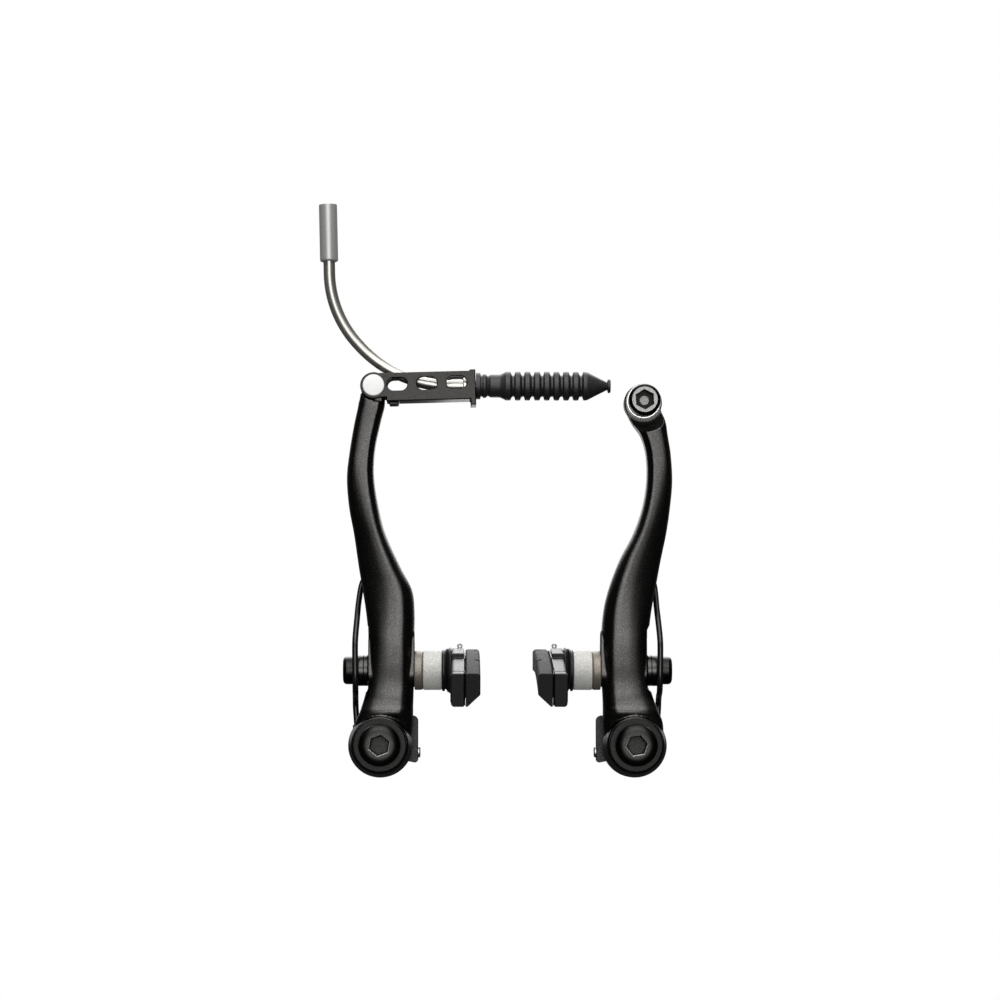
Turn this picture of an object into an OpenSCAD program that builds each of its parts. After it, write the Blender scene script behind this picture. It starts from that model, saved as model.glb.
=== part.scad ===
/* [Pivots] */
// Distance between the two pivot axes, as the bosses on the frame stand
boss_spacing = 76.8; // [70:0.2:84]
// Outer diameter of the steel sleeve that the arm turns on
sleeve_d = 11; // [10.6:0.1:12]
// Bore of the sleeve, for the post of the frame's boss
sleeve_bore_d = 8.36; // [8.32:0.02:8.5]
// Length of the sleeve, from the frame's shoulder to the front washer
sleeve_len = 17.6; // [16.6:0.1:19]
// Wall of the bush that is pressed into the arm
bush_wall = 1.2; // [0.8:0.1:1.8]
// Running clearance between sleeve and bush, on the radius
running_gap = 0.05; // [0.02:0.01:0.08]
// Diameter of the round boss at the foot of each arm
boss_d = 19.4; // [18:0.2:21]
// Gap that lets the arm turn between stopper and front washer
side_gap = 0.3; // [0.2:0.05:0.5]

/* [Fixing bolts] */
// Thread diameter of the fixing bolt
bolt_d = 6; // [5:0.5:6.5]
// Length of the bolt's shank under the washer
bolt_len = 20; // [19.9:0.1:22]
// Diameter of the front washer
pivot_washer_d = 16.3; // [14:0.1:17.2]
// Thickness of the front washer
pivot_washer_t = 1.7; // [1:0.1:2.4]
// Diameter of the bolt's domed head
bolt_head_d = 12.7; // [11:0.1:14]
// Height of the bolt's domed head
bolt_head_h = 4.4; // [3.6:0.1:6]
// Hexagon key size of the fixing and cable bolts, across flats
key_af = 5; // [4:0.5:5.5]
// Depth of the hexagon sockets
key_depth = 2.8; // [2:0.1:3.4]

/* [Arms] */
// Depth of the arm's foot, from its back face to its front face
arm_depth = 12; // [11.4:0.1:13]
// Depth at which the forging's parting line runs, in front of the back face
arm_parting = 6.2; // [5:0.1:7.4]
// Height of the brake shoe's stud above the pivot axis, at rest
stud_height = 22.6; // [21.6:0.2:24]
// Lowest place of the stud in its slot, below rest
stud_down = 1; // [0:0.5:2.5]
// Highest place of the stud in its slot, above rest
stud_up = 8; // [4:0.5:9]
// Width of the slot for the stud
slot_w = 7.2; // [7:0.1:8]

/* [Springs] */
// Wire diameter of the return springs
spring_d = 1.8; // [1.2:0.1:2]
// Thickness of the plastic stopper behind each arm
stopper_t = 4.9; // [4:0.1:5.4]
// Diameter of the steel pin that holds the stopper in the frame
stopper_pin_d = 2.5; // [2:0.1:3]
// Length of that pin behind the stopper
stopper_pin_len = 4.8; // [4:0.1:6]
// Diameter of the spring's adjusting screw
tension_screw_d = 2.6; // [2:0.1:3]

/* [Brake shoes] */
// Thread diameter of the shoe's stud
stud_d = 6; // [5:0.1:6.2]
// Diameter of the washers on the rim side of the arm
inner_washer_d = 11.8; // [11:0.1:12.4]
// Diameter of the washers under the nut
outer_washer_d = 9.4; // [9:0.1:10.4]
// Rim thickness of the domed washer on the rim side
inner_dome_t = 2.5; // [1.6:0.1:3.2]
// Thickness of the cupped washer on the rim side
inner_cup_t = 5.7; // [4.6:0.1:7]
// Rim thickness of the domed washer under the nut
outer_dome_t = 1.1; // [0.8:0.1:1.6]
// Thickness of the cupped washer under the nut
outer_cup_t = 2.3; // [1.8:0.1:3]
// Ball clearance between a domed washer and its cup
ball_gap = 0.06; // [0.04:0.01:0.1]
// Diameter of the nut
nut_d = 8.4; // [8:0.1:9.4]
// Length of the nut
nut_len = 4; // [3.6:0.1:6]
// Length of the pad along the rim
pad_len = 70; // [56:1:76]
// Height of the pad's friction face
pad_h = 10; // [9.6:0.2:12]
// Thickness of the rubber in front of the holder
pad_t = 4.3; // [3:0.1:6]
// Radius of the rim's brake track, which the shoe follows
rim_r = 285; // [240:1:320]
// Thickness of the holder that the pad slides into
holder_t = 4.1; // [3.8:0.1:5]
// Height of the holder's rails
holder_h = 9.4; // [9:0.1:10]
// Angle of the shoe at rest, front end down
shoe_pitch = 7.5; // [0:0.5:9]

/* [Cable line] */
// Height of the cable above the pivot axes
cable_height = 109.1; // [108.9:0.1:109.3]
// Depth of the cable in front of the frame's shoulder
cable_depth = 11.5; // [11.3:0.1:11.7]
// Height of the link's rivet above the pivot axes
rivet_height = 108.8; // [108.7:0.1:109]
// Distance of the rivet outside the left pivot axis
rivet_out = 2.3; // [2.1:0.1:2.5]
// Radius of the eye at the top of the left arm
eye_r = 3.6; // [3.4:0.1:3.7]
// Thickness of the left arm's eye
eye_t = 5.8; // [5:0.1:6]
// Diameter of the rivet's shank
rivet_d = 4.4; // [3.6:0.1:4.6]
// Diameter of the rivet's polished front cap
rivet_cap_d = 6.5; // [6:0.1:7]

/* [Link] */
// Sheet thickness of the folded link
sheet_t = 1.2; // [1:0.1:1.3]
// Space between the link's two side plates
link_gap = 6.1; // [6.1:0.1:6.4]
// Height of the side plates
link_h = 7.5; // [7.3:0.1:8]
// Length from the rivet to the outer face of the end plate
link_len = 31; // [28:0.5:33]
// Slope of the link at rest, end plate up
link_slope = 1.6; // [0:0.1:2]
// Length of the foot below the end plate
link_foot = 3; // [1:0.5:5]
// Number of windows in each side plate
window_count = 3; // [2:1:3]
// Length of a window
window_len = 6.1; // [5:0.1:6.8]
// Height of a window
window_h = 3.9; // [3:0.1:4.4]

/* [Noodle] */
// Outer diameter of the bent steel tube
tube_d = 3.57; // [3.2:0.05:3.7]
// Bore of the steel tube
tube_bore_d = 2.6; // [2.4:0.1:2.7]
// Bore of the plastic liner, for the inner cable
liner_bore_d = 1.8; // [1.7:0.1:2]
// Length of the straight run beside the tip
tube_run = 3.6; // [2:0.2:6]
// Radius of the lower bend
lower_bend_r = 32; // [30:0.5:34]
// Angle at which the tube climbs between its two bends
climb_angle = 41.5; // [38:0.5:44]
// Length of the straight climb between the bends
climb_len = 8.6; // [5:0.2:10]
// Radius of the upper bend
upper_bend_r = 28.6; // [26:0.2:32]
// Angle of the ferrule above the horizontal
ferrule_angle = 88.5; // [84:0.5:90]
// Length of the straight run under the ferrule
tube_top_run = 3.8; // [2:0.2:8]
// Diameter of the ferrule that takes the cable housing
ferrule_d = 5.56; // [5.5:0.02:6]
// Length of the ferrule
ferrule_len = 17.5; // [14:0.5:22]
// Bore of the ferrule, for a 5 mm cable housing
ferrule_bore_d = 5.1; // [4.9:0.05:5.15]
// Depth of that bore
ferrule_bore_len = 12; // [8:0.5:12]

/* [Dust boot] */
// Largest diameter of the boot's ribs
boot_d = 8.8; // [8:0.1:9.4]
// Distance from one rib to the next
rib_pitch = 2.95; // [2.4:0.05:3.1]
// Number of ribs
rib_count = 8; // [5:1:9]
// Bore of the boot
boot_bore_d = 4; // [3.95:0.05:4.4]

/* [Cable anchor] */
// Radius of the round head at the top of the right arm
head_r = 5.8; // [5.6:0.1:6.2]
// Thickness of that head
head_t = 6.2; // [5:0.1:6.6]
// Distance of the anchor bolt outside the right pivot axis
anchor_out = 3; // [2.8:0.1:3.2]
// Height of the anchor bolt above the pivot axes
anchor_height = 104.2; // [104:0.1:104.4]
// Diameter of the clamping washer
anchor_washer_d = 10.7; // [9.8:0.1:11.2]
// Thickness of the clamping washer
anchor_washer_t = 3; // [2:0.1:3.6]
// Thread diameter of the anchor bolt
anchor_bolt_d = 5; // [4.5:0.1:6]
// Diameter of the anchor bolt's head
anchor_head_d = 9.6; // [9:0.1:10]
// Height of the anchor bolt's head
anchor_head_h = 6; // [5:0.1:7]

/* [Hidden] */
$fn = 48;
pivot_x = boss_spacing / 2;
back_y = -stopper_t - side_gap;
front_y = back_y - arm_depth;
parting_y = back_y - arm_parting;
cable_y = -cable_depth;
sleeve_r = sleeve_d / 2;
bush_r = sleeve_r + running_gap;
bore_r = bush_r + bush_wall;
washer_y = -sleeve_len;
bolt_y = washer_y - pivot_washer_t;
shank_gap = 0.05;
edge = 0.5;

// The stud stands midway in the arm's depth, and the washers' common ball centre is midway
// between the two machined lands around the slot.
stud_y = (front_y + back_y) / 2 + 0.3;
land_in = 10.3;
land_out = 3.8;
ball_x = (land_out - land_in) / 2;
land_half = (land_in + land_out) / 2;
inner_ball_r = norm([land_half + inner_dome_t, inner_washer_d / 2]);
outer_ball_r = norm([land_half + outer_dome_t, outer_washer_d / 2]);
tilt_room = 0.75;
inner_cup_in = land_in + inner_dome_t + ball_gap;
flange_in = inner_cup_in + inner_cup_t;
outer_cup_out = land_out + outer_dome_t + ball_gap;
nut_out = outer_cup_out + outer_cup_t;

// Places along the stud, counted from the pivot axis towards the rim
stud_flange_d = 12.6;
stud_flange_t = 1.4;
holder_in = flange_in + 2.7;
pad_seam = 0.35;
pad_in = holder_in + holder_t + pad_seam;
pad_face_in = pad_in + pad_t;
tongue_gap = 0.2;
pin_along = 10;
pad_pin_r = 0.7;

// Link, noodle and boot
rivet_x = -pivot_x - rivet_out;
end_plate_t = 1.7;
end_x = rivet_x + link_len;
plate_out = link_gap / 2 + sheet_t;
nose_r = 1.95;
nose_len = end_plate_t + 5;
collar_r = 2.5;
collar_t = 1.8;
collar_x = end_x - end_plate_t - 0.3;
boot_x = end_x + 0.6;
floor_from = 3.8;

// The tube's corners and bend centres, walked back from the tip towards the ferrule
function heading(a) = [-cos(a), sin(a)];
function left_of(a) = [sin(a), cos(a)];
tip_start = [collar_x - collar_t, cable_height];
lower_end = tip_start + tube_run * heading(0);
lower_centre = lower_end + lower_bend_r * left_of(0);
climb_start = lower_centre - lower_bend_r * left_of(climb_angle);
climb_end = climb_start + climb_len * heading(climb_angle);
upper_centre = climb_end + upper_bend_r * left_of(climb_angle);
top_start = upper_centre - upper_bend_r * left_of(ferrule_angle);
ferrule_start = top_start + tube_top_run * heading(ferrule_angle);

// Cable anchor on the right arm
head_y = cable_y + 0.75;
anchor_washer_y = head_y - anchor_washer_t;
anchor_head_y = anchor_washer_y - anchor_head_h;

// Each side is drawn once with x pointing away from the wheel, and stood on its own pivot.
module left_side() {
    translate([-pivot_x, 0, 0]) mirror([1, 0, 0]) children();
}
module right_side() {
    translate([pivot_x, 0, 0]) children();
}

// A rod or tube along the depth, from y0 forwards to y1, and one across from x0 to x1
module along_y(y0, y1) {
    translate([0, y0, 0]) rotate([90, 0, 0]) linear_extrude(y0 - y1) children();
}
module across(x0, x1) {
    translate([x0, 0, 0]) rotate([90, 0, 90]) linear_extrude(x1 - x0) children();
}
module turned_across(x0) {
    translate([x0, 0, 0]) rotate([0, -90, 0]) rotate_extrude() children();
}
module hexagon(af) {
    circle(d = af / cos(30), $fn = 6);
}

/* Stations up an arm: height, outer edge and inner edge (away from the wheel is positive),
   and how far the front and the back stand in front of the frame's shoulder. */
left_stations = [
    [-3, 8.6, -8.6, 15.2, 5.2], [6, 7.7, -9.7, 15.2, 5.2], [11, 5.9, -9.9, 14.7, 5.2],
    [16, 4.4, -10.1, 15.6, 5.2], [23, 3.7, -10.2, 16.8, 5.2], [32, 3.6, -10.2, 17.2, 5.2],
    [40, 4.4, -10.3, 17.2, 5.3], [47, 5.5, -9.5, 17.2, 5.7], [54, 6.7, -5.9, 17.1, 6.2],
    [64, 8.2, -1.4, 16.8, 6.6], [72, 9.7, 0.7, 16.4, 6.8], [81, 10.4, 2.1, 16.1, 7.0],
    [89, 9.5, 1.9, 15.9, 7.2], [97, 7.9, 0.4, 15.7, 7.4], [102.2, 6.4, -0.9, 15.4, 7.6],
    [104.7, 5.8, -1.2, 14.3, 8.7], [106.8, 5.5, -0.9, 14.3, 8.7]
];
right_stations = [
    [-3, 8.6, -8.6, 15.2, 5.2], [6, 8.6, -9.6, 15.2, 5.2], [11, 6.9, -9.6, 14.7, 5.2],
    [16, 5.1, -9.8, 15.6, 5.2], [23, 4.2, -10.1, 16.8, 5.2], [32, 4.2, -10.1, 17.2, 5.2],
    [40, 5.1, -9.5, 17.2, 5.3], [47, 6.4, -7.9, 17.2, 5.7], [56, 8.1, -4.5, 17.1, 6.2],
    [64, 9.8, -0.3, 16.8, 6.4], [72, 11.0, 2.5, 16.4, 6.4], [80, 11.7, 3.8, 16.0, 6.2],
    [88, 11.3, 3.7, 15.6, 5.8], [94, 10.4, 2.1, 14.6, 5.2], [98, 9.8, -0.6, 12.2, 4.8],
    [102, 8.4, -2.4, 10.8, 4.6], [104, 8.0, -2.2, 10.8, 4.6]
];

// Catmull-Rom blend between four stations, and the whole list with a ring between each pair
function spline(a, b, c, d, t) =
    0.5 * (2 * b + (c - a) * t + (2 * a - 5 * b + 4 * c - d) * t * t
        + (3 * b - a - 3 * c + d) * t * t * t);
function refined(list, steps) = [
    for (i = [0 : len(list) - 2], k = [0 : steps - 1])
        spline(list[max(i - 1, 0)], list[i], list[i + 1], list[min(i + 2, len(list) - 1)],
            k / steps),
    list[len(list) - 1]
];

// Half sections of the forging in fractions of its half width and depth: a rounded crown over
// drafted walls at the foot, and a flat face between two bevels at the top.
foot_section = [[1, 0], [0.81, 0.6], [0.7, 0.82], [0.5, 0.95], [0.22, 1]];
top_section = [[1, 0], [0.93, 0.5], [0.62, 0.96], [0.5, 1], [0.2, 1]];
back_section = [[0.3, -1], [0.84, -1], [0.95, -0.8]];
function blend(s) = min(1, max(0, (s[0] - 42) / 30));
function half_section(s) = let (k = blend(s)) concat(
    [for (i = [0 : 4]) (1 - k) * foot_section[i] + k * top_section[i]]);
function section_at(s) = let (
        mid = (s[1] + s[2]) / 2,
        half = (s[1] - s[2]) / 2,
        part = min(max(-parting_y, s[4] + 2), s[3] - 2),
        front = half_section(s),
        ring = concat(
            [for (p = front) p],
            [for (i = [4 : -1 : 0]) [-front[i][0], front[i][1]]],
            [for (i = [2 : -1 : 0]) [-back_section[i][0], back_section[i][1]]],
            [for (p = back_section) p])
    ) [for (p = ring) [mid + half * p[0],
        -part - (p[1] > 0 ? p[1] * (s[3] - part) : p[1] * (part - s[4])), s[0]]];

module loft(rings) {
    n = len(rings[0]);
    last = len(rings) - 1;
    points = [for (r = rings, p = r) p];
    sides = [
        for (i = [0 : last - 1], j = [0 : n - 1], h = [0, 1])
            let (a = i * n + j, b = i * n + (j + 1) % n)
                h == 0 ? [a, b, b + n] : [a, b + n, a + n]
    ];
    foot = [for (j = [n - 1 : -1 : 0]) j];
    cap = [for (j = [0 : n - 1]) last * n + j];
    polyhedron(points, concat(sides, [foot], [cap]), convexity = 6);
}
module forging(stations) {
    loft([for (s = refined(stations, 2)) section_at(s)]);
}

// What both arms share at the foot: the boss, the lands and slot for the stud, and the bores
module slot_outline(r) {
    low = stud_height - stud_down;
    high = stud_height + stud_up;
    translate([stud_y, low]) circle(r);
    translate([stud_y, high]) circle(r);
    translate([stud_y - r, low]) square([2 * r, high - low]);
}
module arm_foot() {
    along_y(back_y, parting_y) circle(d = boss_d);
    translate([0, parting_y, 0]) rotate([90, 0, 0])
        cylinder(r1 = boss_d / 2, r2 = boss_d / 2 - 1.2, h = parting_y - front_y);
    across(-land_in, -land_in + 4) slot_outline(inner_washer_d / 2 - 1.3);
    across(land_out - 3, land_out) slot_outline(outer_washer_d / 2 - 0.6);
}
module arm_cuts(peg) {
    along_y(1, front_y - 1) circle(bore_r);
    across(-land_in - 1, land_out + 3) slot_outline(slot_w / 2);
    across(-land_in - 5, -land_in) slot_outline(inner_washer_d / 2 + 0.4);
    across(land_out, land_out + 5) slot_outline(outer_washer_d / 2 + 0.4);
    translate([peg[0], 0, peg[1]]) along_y(-2, peg_end_y) circle(peg_r);
}

/* Left arm: forged and black anodised, with an eye for the link's rivet */
peg_r = 1.4;
peg_end_y = -10;
left_peg = [4.9, 56.6];
right_peg = [6.1, 56.6];
module left_arm() color("#1b1b1c") left_side() difference() {
    union() {
        forging(left_stations);
        arm_foot();
        translate([rivet_out, 0, rivet_height])
            along_y(cable_y + eye_t / 2, cable_y - eye_t / 2) circle(eye_r);
    }
    arm_cuts(left_peg);
    translate([rivet_out, 0, rivet_height]) along_y(0, -20) circle(rivet_d / 2 + running_gap);
}

/* Right arm: the same forging with a flat round head that the cable is clamped to */
module right_arm() color("#1b1b1c") right_side() difference() {
    union() {
        forging(right_stations);
        arm_foot();
        translate([anchor_out, 0, anchor_height])
            along_y(head_y + head_t, head_y) circle(head_r);
    }
    arm_cuts(right_peg);
    translate([anchor_out, 0, anchor_height]) along_y(0, -20) circle(d = anchor_bolt_d);
    translate([anchor_out, 0, anchor_height]) along_y(head_y, -20) circle(d = anchor_washer_d + 1.2);
    translate([anchor_out, head_y, anchor_height + anchor_bolt_d / 2 + 0.8])
        rotate([0, 90, 0]) cylinder(r = 0.6, h = 16, center = true);
}

/* Pivot: bush in the arm, sleeve on the boss, front washer, fixing bolt */
module arm_bush() {
    along_y(back_y, front_y) difference() {
        circle(bore_r);
        circle(bush_r);
    }
}
module pivot_sleeve() {
    along_y(0, washer_y) difference() {
        circle(sleeve_r);
        circle(d = sleeve_bore_d);
    }
}
module pivot_washer() {
    r = pivot_washer_d / 2;
    translate([0, washer_y, 0]) rotate([90, 0, 0]) rotate_extrude() polygon([
        [bolt_d / 2 + shank_gap, 0], [r - 0.4, 0], [r, 0.4], [r, pivot_washer_t - edge],
        [r - edge, pivot_washer_t], [bolt_d / 2 + shank_gap, pivot_washer_t]
    ]);
}
module fixing_bolt() {
    r = bolt_head_d / 2;
    dome = 1.6;
    neck = pivot_washer_t + 0.4;
    difference() {
        translate([0, bolt_y, 0]) rotate([90, 0, 0]) rotate_extrude() polygon(concat(
            [[0, -bolt_len], [bolt_d / 2 - 0.5, -bolt_len], [bolt_d / 2, -bolt_len + 0.5],
                [bolt_d / 2, -neck - 0.3], [bolt_d / 2 - 0.4, -neck], [bolt_d / 2 - 0.4, 0],
                [r, 0]],
            [for (a = [0 : 15 : 90]) [r - dome + dome * cos(a), bolt_head_h - dome + dome * sin(a)]],
            [[0, bolt_head_h]]));
        along_y(bolt_y - bolt_head_h + key_depth, bolt_y - bolt_head_h - 1) hexagon(key_af);
        translate([0, bolt_y - bolt_head_h - 0.01, 0]) rotate([-90, 0, 0])
            cylinder(r1 = key_af / 2 + 0.9, r2 = key_af / 2 - 0.1, h = 1);
    }
}

/* Stopper: moulded block behind the arm that is pinned to the frame and holds the spring */
pin_place = [0.5, 12.2];
lug_x = 7.3;
lug_top = 13.4;
screw_z = -2;
block_in = 11.3;
module stopper() difference() {
    union() {
        along_y(0, -stopper_t) {
            circle(9.3);
            hull() {
                translate([lug_x - 0.7, lug_top - 2]) circle(2);
                translate([lug_x - 1.2, 2]) circle(2.4);
                translate([0, 2]) circle(4);
            }
            hull() {
                translate(pin_place) circle(3);
                translate([0, 2]) circle(5);
            }
            hull() {
                translate([-block_in + 1.6, 7.5]) circle(1.6);
                translate([-block_in + 1, -4.2]) circle(1);
                circle(3);
            }
        }
    }
    along_y(1, -stopper_t - 1) circle(sleeve_r + shank_gap);
    translate([pin_place[0], 0, pin_place[1]]) along_y(1, -stopper_t + 1.2)
        circle(d = stopper_pin_d + 0.6);
    translate([0, -stopper_t / 2, screw_z]) rotate([0, -90, 0])
        cylinder(d = tension_screw_d, h = 20);
    translate(spring_route[0])
        cylinder(r = spring_d / 2 + shank_gap, h = 20);
}
module stopper_pin() {
    // Thicker where it is pressed into the stopper
    r = stopper_pin_d / 2;
    translate([pin_place[0], 0, pin_place[1]])
        rotate([-90, 0, 0]) rotate_extrude() polygon([
            [0, -stopper_t + 1.2], [r + 0.3, -stopper_t + 1.2], [r + 0.3, 0], [r, 0.3],
            [r, stopper_pin_len - 0.5], [r - 0.5, stopper_pin_len], [0, stopper_pin_len]
        ]);
}
module tension_screw() {
    r = tension_screw_d / 2;
    translate([-block_in - 0.7, -stopper_t / 2, screw_z]) rotate([0, 90, 0]) difference() {
        rotate_extrude() polygon([
            [0, 0], [r + 0.1, 0], [r + 0.4, 0.3], [r + 0.4, 0.7], [r - 0.02, 0.7],
            [r - 0.02, 5], [r - 0.6, 5.6], [0, 5.6]
        ]);
        for (a = [0, 90]) rotate([0, 0, a])
            translate([-0.3, -r * 0.8, -1]) cube([0.6, r * 1.6, 1.6]);
    }
}

/* Return spring: one wire from the stopper, up outside the nut and in behind the arm's peg */
spring_route = [
    [7.3, -2.6, 3], [7.3, -2.6, 8], [7.3, -2.6, 12], [7.35, -3.5, 14.4], [7.5, -7, 15.3],
    [7.6, -11.5, 15.6], [7.6, -15.2, 17], [7.6, -16.7, 21], [7.6, -16.6, 26],
    [7.5, -16.2, 31.5], [7.1, -12.8, 38], [6.7, -7.6, 44], [5.8, -4.2, 49.4],
    [3.4, -3.9, 53.6], [2.05, -3.9, 56.6], [1.85, -3.9, 59.4]
];
function unit(v) = v / norm(v);
function wire_ring(p, t, r, sides) = let (a = unit(cross(t, [1, 0, 0.001])), b = cross(t, a))
    [for (k = [0 : sides - 1]) p + r * (cos(360 * k / sides) * a + sin(360 * k / sides) * b)];
module spring_wire(route, r) {
    path = refined(route, 2);
    last = len(path) - 1;
    loft([for (i = [0 : last])
        wire_ring(path[i], unit(path[min(i + 1, last)] - path[max(i - 1, 0)]), r, 10)]);
}
module return_spring(shift) {
    spring_wire([for (p = spring_route) p + [shift * max(0, p[2] - 42) / 16, 0, 0]], spring_d / 2);
}
module spring_peg(peg) {
    translate([peg[0], peg_end_y, peg[1]]) rotate([-90, 0, 0]) rotate_extrude() polygon([
        [0, 0], [peg_r, 0], [peg_r, 7.3], [peg_r + 0.5, 7.3], [peg_r + 0.5, 7.8],
        [peg_r, 8.1], [0, 8.1]
    ]);
}

/* Brake shoe: stud, holder and pad, tipped about the stud as they were fitted */
module at_stud() {
    translate([0, stud_y, stud_height]) children();
}
module along_rim(from, to) {
    a0 = from / rim_r * 180 / PI;
    a1 = to / rim_r * 180 / PI;
    translate([0, stud_y, stud_height]) rotate([shoe_pitch, 0, 0]) translate([0, 0, -rim_r])
        rotate([0, -90, 0]) rotate([0, 0, a0]) rotate_extrude(angle = a1 - a0, $fn = 96)
            translate([rim_r, 0]) children();
}
module in_shoe() {
    at_stud() rotate([shoe_pitch, 0, 0]) children();
}
module stud() at_stud() {
    r = stud_d / 2;
    turned_across(0) polygon([
        [0, -nut_out - 2.2], [r - 0.5, -nut_out - 2.2], [r, -nut_out - 1.7],
        [r, flange_in], [stud_flange_d / 2 - 0.3, flange_in], [stud_flange_d / 2, flange_in + 0.3],
        [stud_flange_d / 2, flange_in + 0.8], [4.4, flange_in + stud_flange_t],
        [4.4, holder_in], [3.4, holder_in], [3.4, holder_in + 1.5], [0, holder_in + 1.5]
    ]);
}
// A ball face between two radii, as points along the stud's axis
function ball_face(r, r0, r1, side) = [for (i = [0 : 6])
    let (q = r0 + (r1 - r0) * i / 6) [q, -ball_x + side * sqrt(r * r - q * q)]];
module dome_washer(from, t, ball_r, d) at_stud() {
    // The flat side lies on the arm's land and the ball side faces away from the arm.
    side = sign(t);
    r0 = stud_d / 2 + tilt_room;
    turned_across(0) polygon(concat(
        [[r0, from], [d / 2 - 0.2, from], [d / 2, from + side * 0.2]],
        ball_face(ball_r, d / 2, r0, side)));
}
module cup_washer(from, t, ball_r, d) at_stud() {
    side = sign(t);
    r0 = stud_d / 2 + shank_gap;
    turned_across(0) polygon(concat(
        [[d / 2, from + t - 0.4 * side], [d / 2 - 0.4, from + t], [r0, from + t]],
        ball_face(ball_r + ball_gap, r0, d / 2, side)));
}
module stud_nut() at_stud() difference() {
    turned_across(0) polygon(concat(
        [[stud_d / 2 + shank_gap, -nut_out], [nut_d / 2, -nut_out]],
        [for (a = [0 : 30 : 90]) [nut_d / 2 - 1.1 + 1.1 * cos(a), -nut_out - nut_len + 1.1 - 1.1 * sin(a)]],
        [[stud_d / 2 + shank_gap, -nut_out - nut_len]]));
    across(nut_out + nut_len - 1.8, nut_out + nut_len + 1) hexagon(key_af);
}
module bar_section(half_h, back, front) {
    polygon([
        [-half_h, holder_in + back + 0.6], [-half_h + 0.6, holder_in + back],
        [half_h - 0.6, holder_in + back], [half_h, holder_in + back + 0.6],
        [half_h, holder_in + front], [-half_h, holder_in + front]
    ]);
}
module pad_holder() difference() {
    union() {
        along_rim(-pad_len / 2 + 2, pad_len / 2 - 1) bar_section(holder_h / 2, 0.3, holder_t);
        along_rim(-8, 8) bar_section(6.1, 0, holder_t - 0.2);
        along_rim(-pad_len / 2, -pad_len / 2 + 3.2) bar_section(pad_h / 2, 0.15, holder_t - 0.1);
    }
    // The groove is wider at its floor, so that the pad's tongue stays in; its front end is closed
    along_rim(-pad_len / 2 + 3.2, pad_len / 2 + 1) polygon([
        [3.05, holder_in + holder_t + 0.2], [3.6, holder_in + 1.6],
        [-3.6, holder_in + 1.6], [-3.05, holder_in + holder_t + 0.2]
    ]);
    at_stud() across(-holder_in - 1.6, -holder_in + 1) circle(3.4);
    in_shoe() translate([-holder_in - 2.7, pin_along, 0])
        cylinder(r = pad_pin_r + shank_gap, h = 30, center = true);
}
module pad() difference() {
    union() {
        along_rim(-pad_len / 2, pad_len / 2) polygon([
            [-pad_h / 2, pad_in], [pad_h / 2 - 0.4, pad_in], [pad_h / 2, pad_in + 0.4],
            [pad_h / 2, pad_face_in - 0.6], [pad_h / 2 - 0.6, pad_face_in],
            [-pad_h / 2 + 3.6, pad_face_in], [-pad_h / 2, pad_in + 0.5]
        ]);
        along_rim(-pad_len / 2 + 3.6, pad_len / 2 - 0.6) polygon([
            [-3.1 + tongue_gap, pad_in + 0.1], [-3.1 + tongue_gap, holder_in + holder_t],
            [-3.6 + tongue_gap, holder_in + 1.8], [3.6 - tongue_gap, holder_in + 1.8],
            [3.1 - tongue_gap, holder_in + holder_t], [3.1 - tongue_gap, pad_in + 0.1]
        ]);
    }
    // Two water grooves across the friction face
    for (y = [-14, 14]) in_shoe() translate([-pad_face_in, y, 0])
        rotate([y < 0 ? 6 : -6, 0, 0]) cube([3, 1.8, 3 * pad_h], center = true);
    in_shoe() translate([-holder_in - 2.7, pin_along, 0])
        cylinder(r = pad_pin_r + shank_gap, h = 2 * 4.2, center = true);
}
module pad_pin() in_shoe() translate([-holder_in - 2.7, pin_along, 0]) {
    top = 6.2;
    loop_r = 1.1;
    translate([0, 0, -5.4]) cylinder(r = pad_pin_r, h = top + 5.4, $fn = 24);
    translate([0, 0, top + loop_r + 0.1]) rotate([0, 90, 0])
        rotate_extrude() translate([loop_r, 0]) circle(0.5, $fn = 16);
}

/* Link: a channel folded from one sheet, open at the top, that swings on the rivet */
module in_link() {
    translate([rivet_x, cable_y, rivet_height]) rotate([0, -link_slope, 0]) children();
}
module plate_outline() difference() {
    union() {
        circle(link_h / 2 + 0.3);
        translate([0, -link_h / 2]) square([link_len - 0.4, link_h]);
        translate([floor_from, -link_h / 2 - sheet_t]) square([link_len - floor_from - 0.4, link_h]);
    }
    circle(d = rivet_d);
    for (i = [0 : window_count - 1]) translate([7.2 + 9 * i, 0]) {
        r = window_h / 2;
        for (x = [r - window_len / 2, window_len / 2 - r]) translate([x, 0.2]) circle(r);
        translate([r - window_len / 2, 0.2 - r]) square([window_len - 2 * r, 2 * r]);
    }
}
module link_cage() color("#3a3a39") difference() {
    in_link() {
        for (y = [plate_out, -link_gap / 2]) along_y(y, y - sheet_t) plate_outline();
        translate([floor_from, -plate_out, -link_h / 2 - sheet_t])
            cube([link_len - floor_from, 2 * plate_out, sheet_t]);
        translate([4.6, -plate_out + 1.6, -link_h / 2 - sheet_t - 1])
            cube([2.9, 2 * plate_out - 3.2, 1.4]);
        translate([link_len - end_plate_t, -plate_out, -link_h / 2 - link_foot])
            cube([end_plate_t, 2 * plate_out, link_h + link_foot + 0.4]);
    }
    // Keyhole: the noodle's nose sits in the round hole and leaves through the slot above it
    translate([end_x, cable_y, cable_height]) {
        rotate([0, 90, 0]) cylinder(r = nose_r + 0.1, h = 10, center = true);
        translate([-5, -1.2, 0]) cube([10, 2.4, 12]);
    }
}
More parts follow.
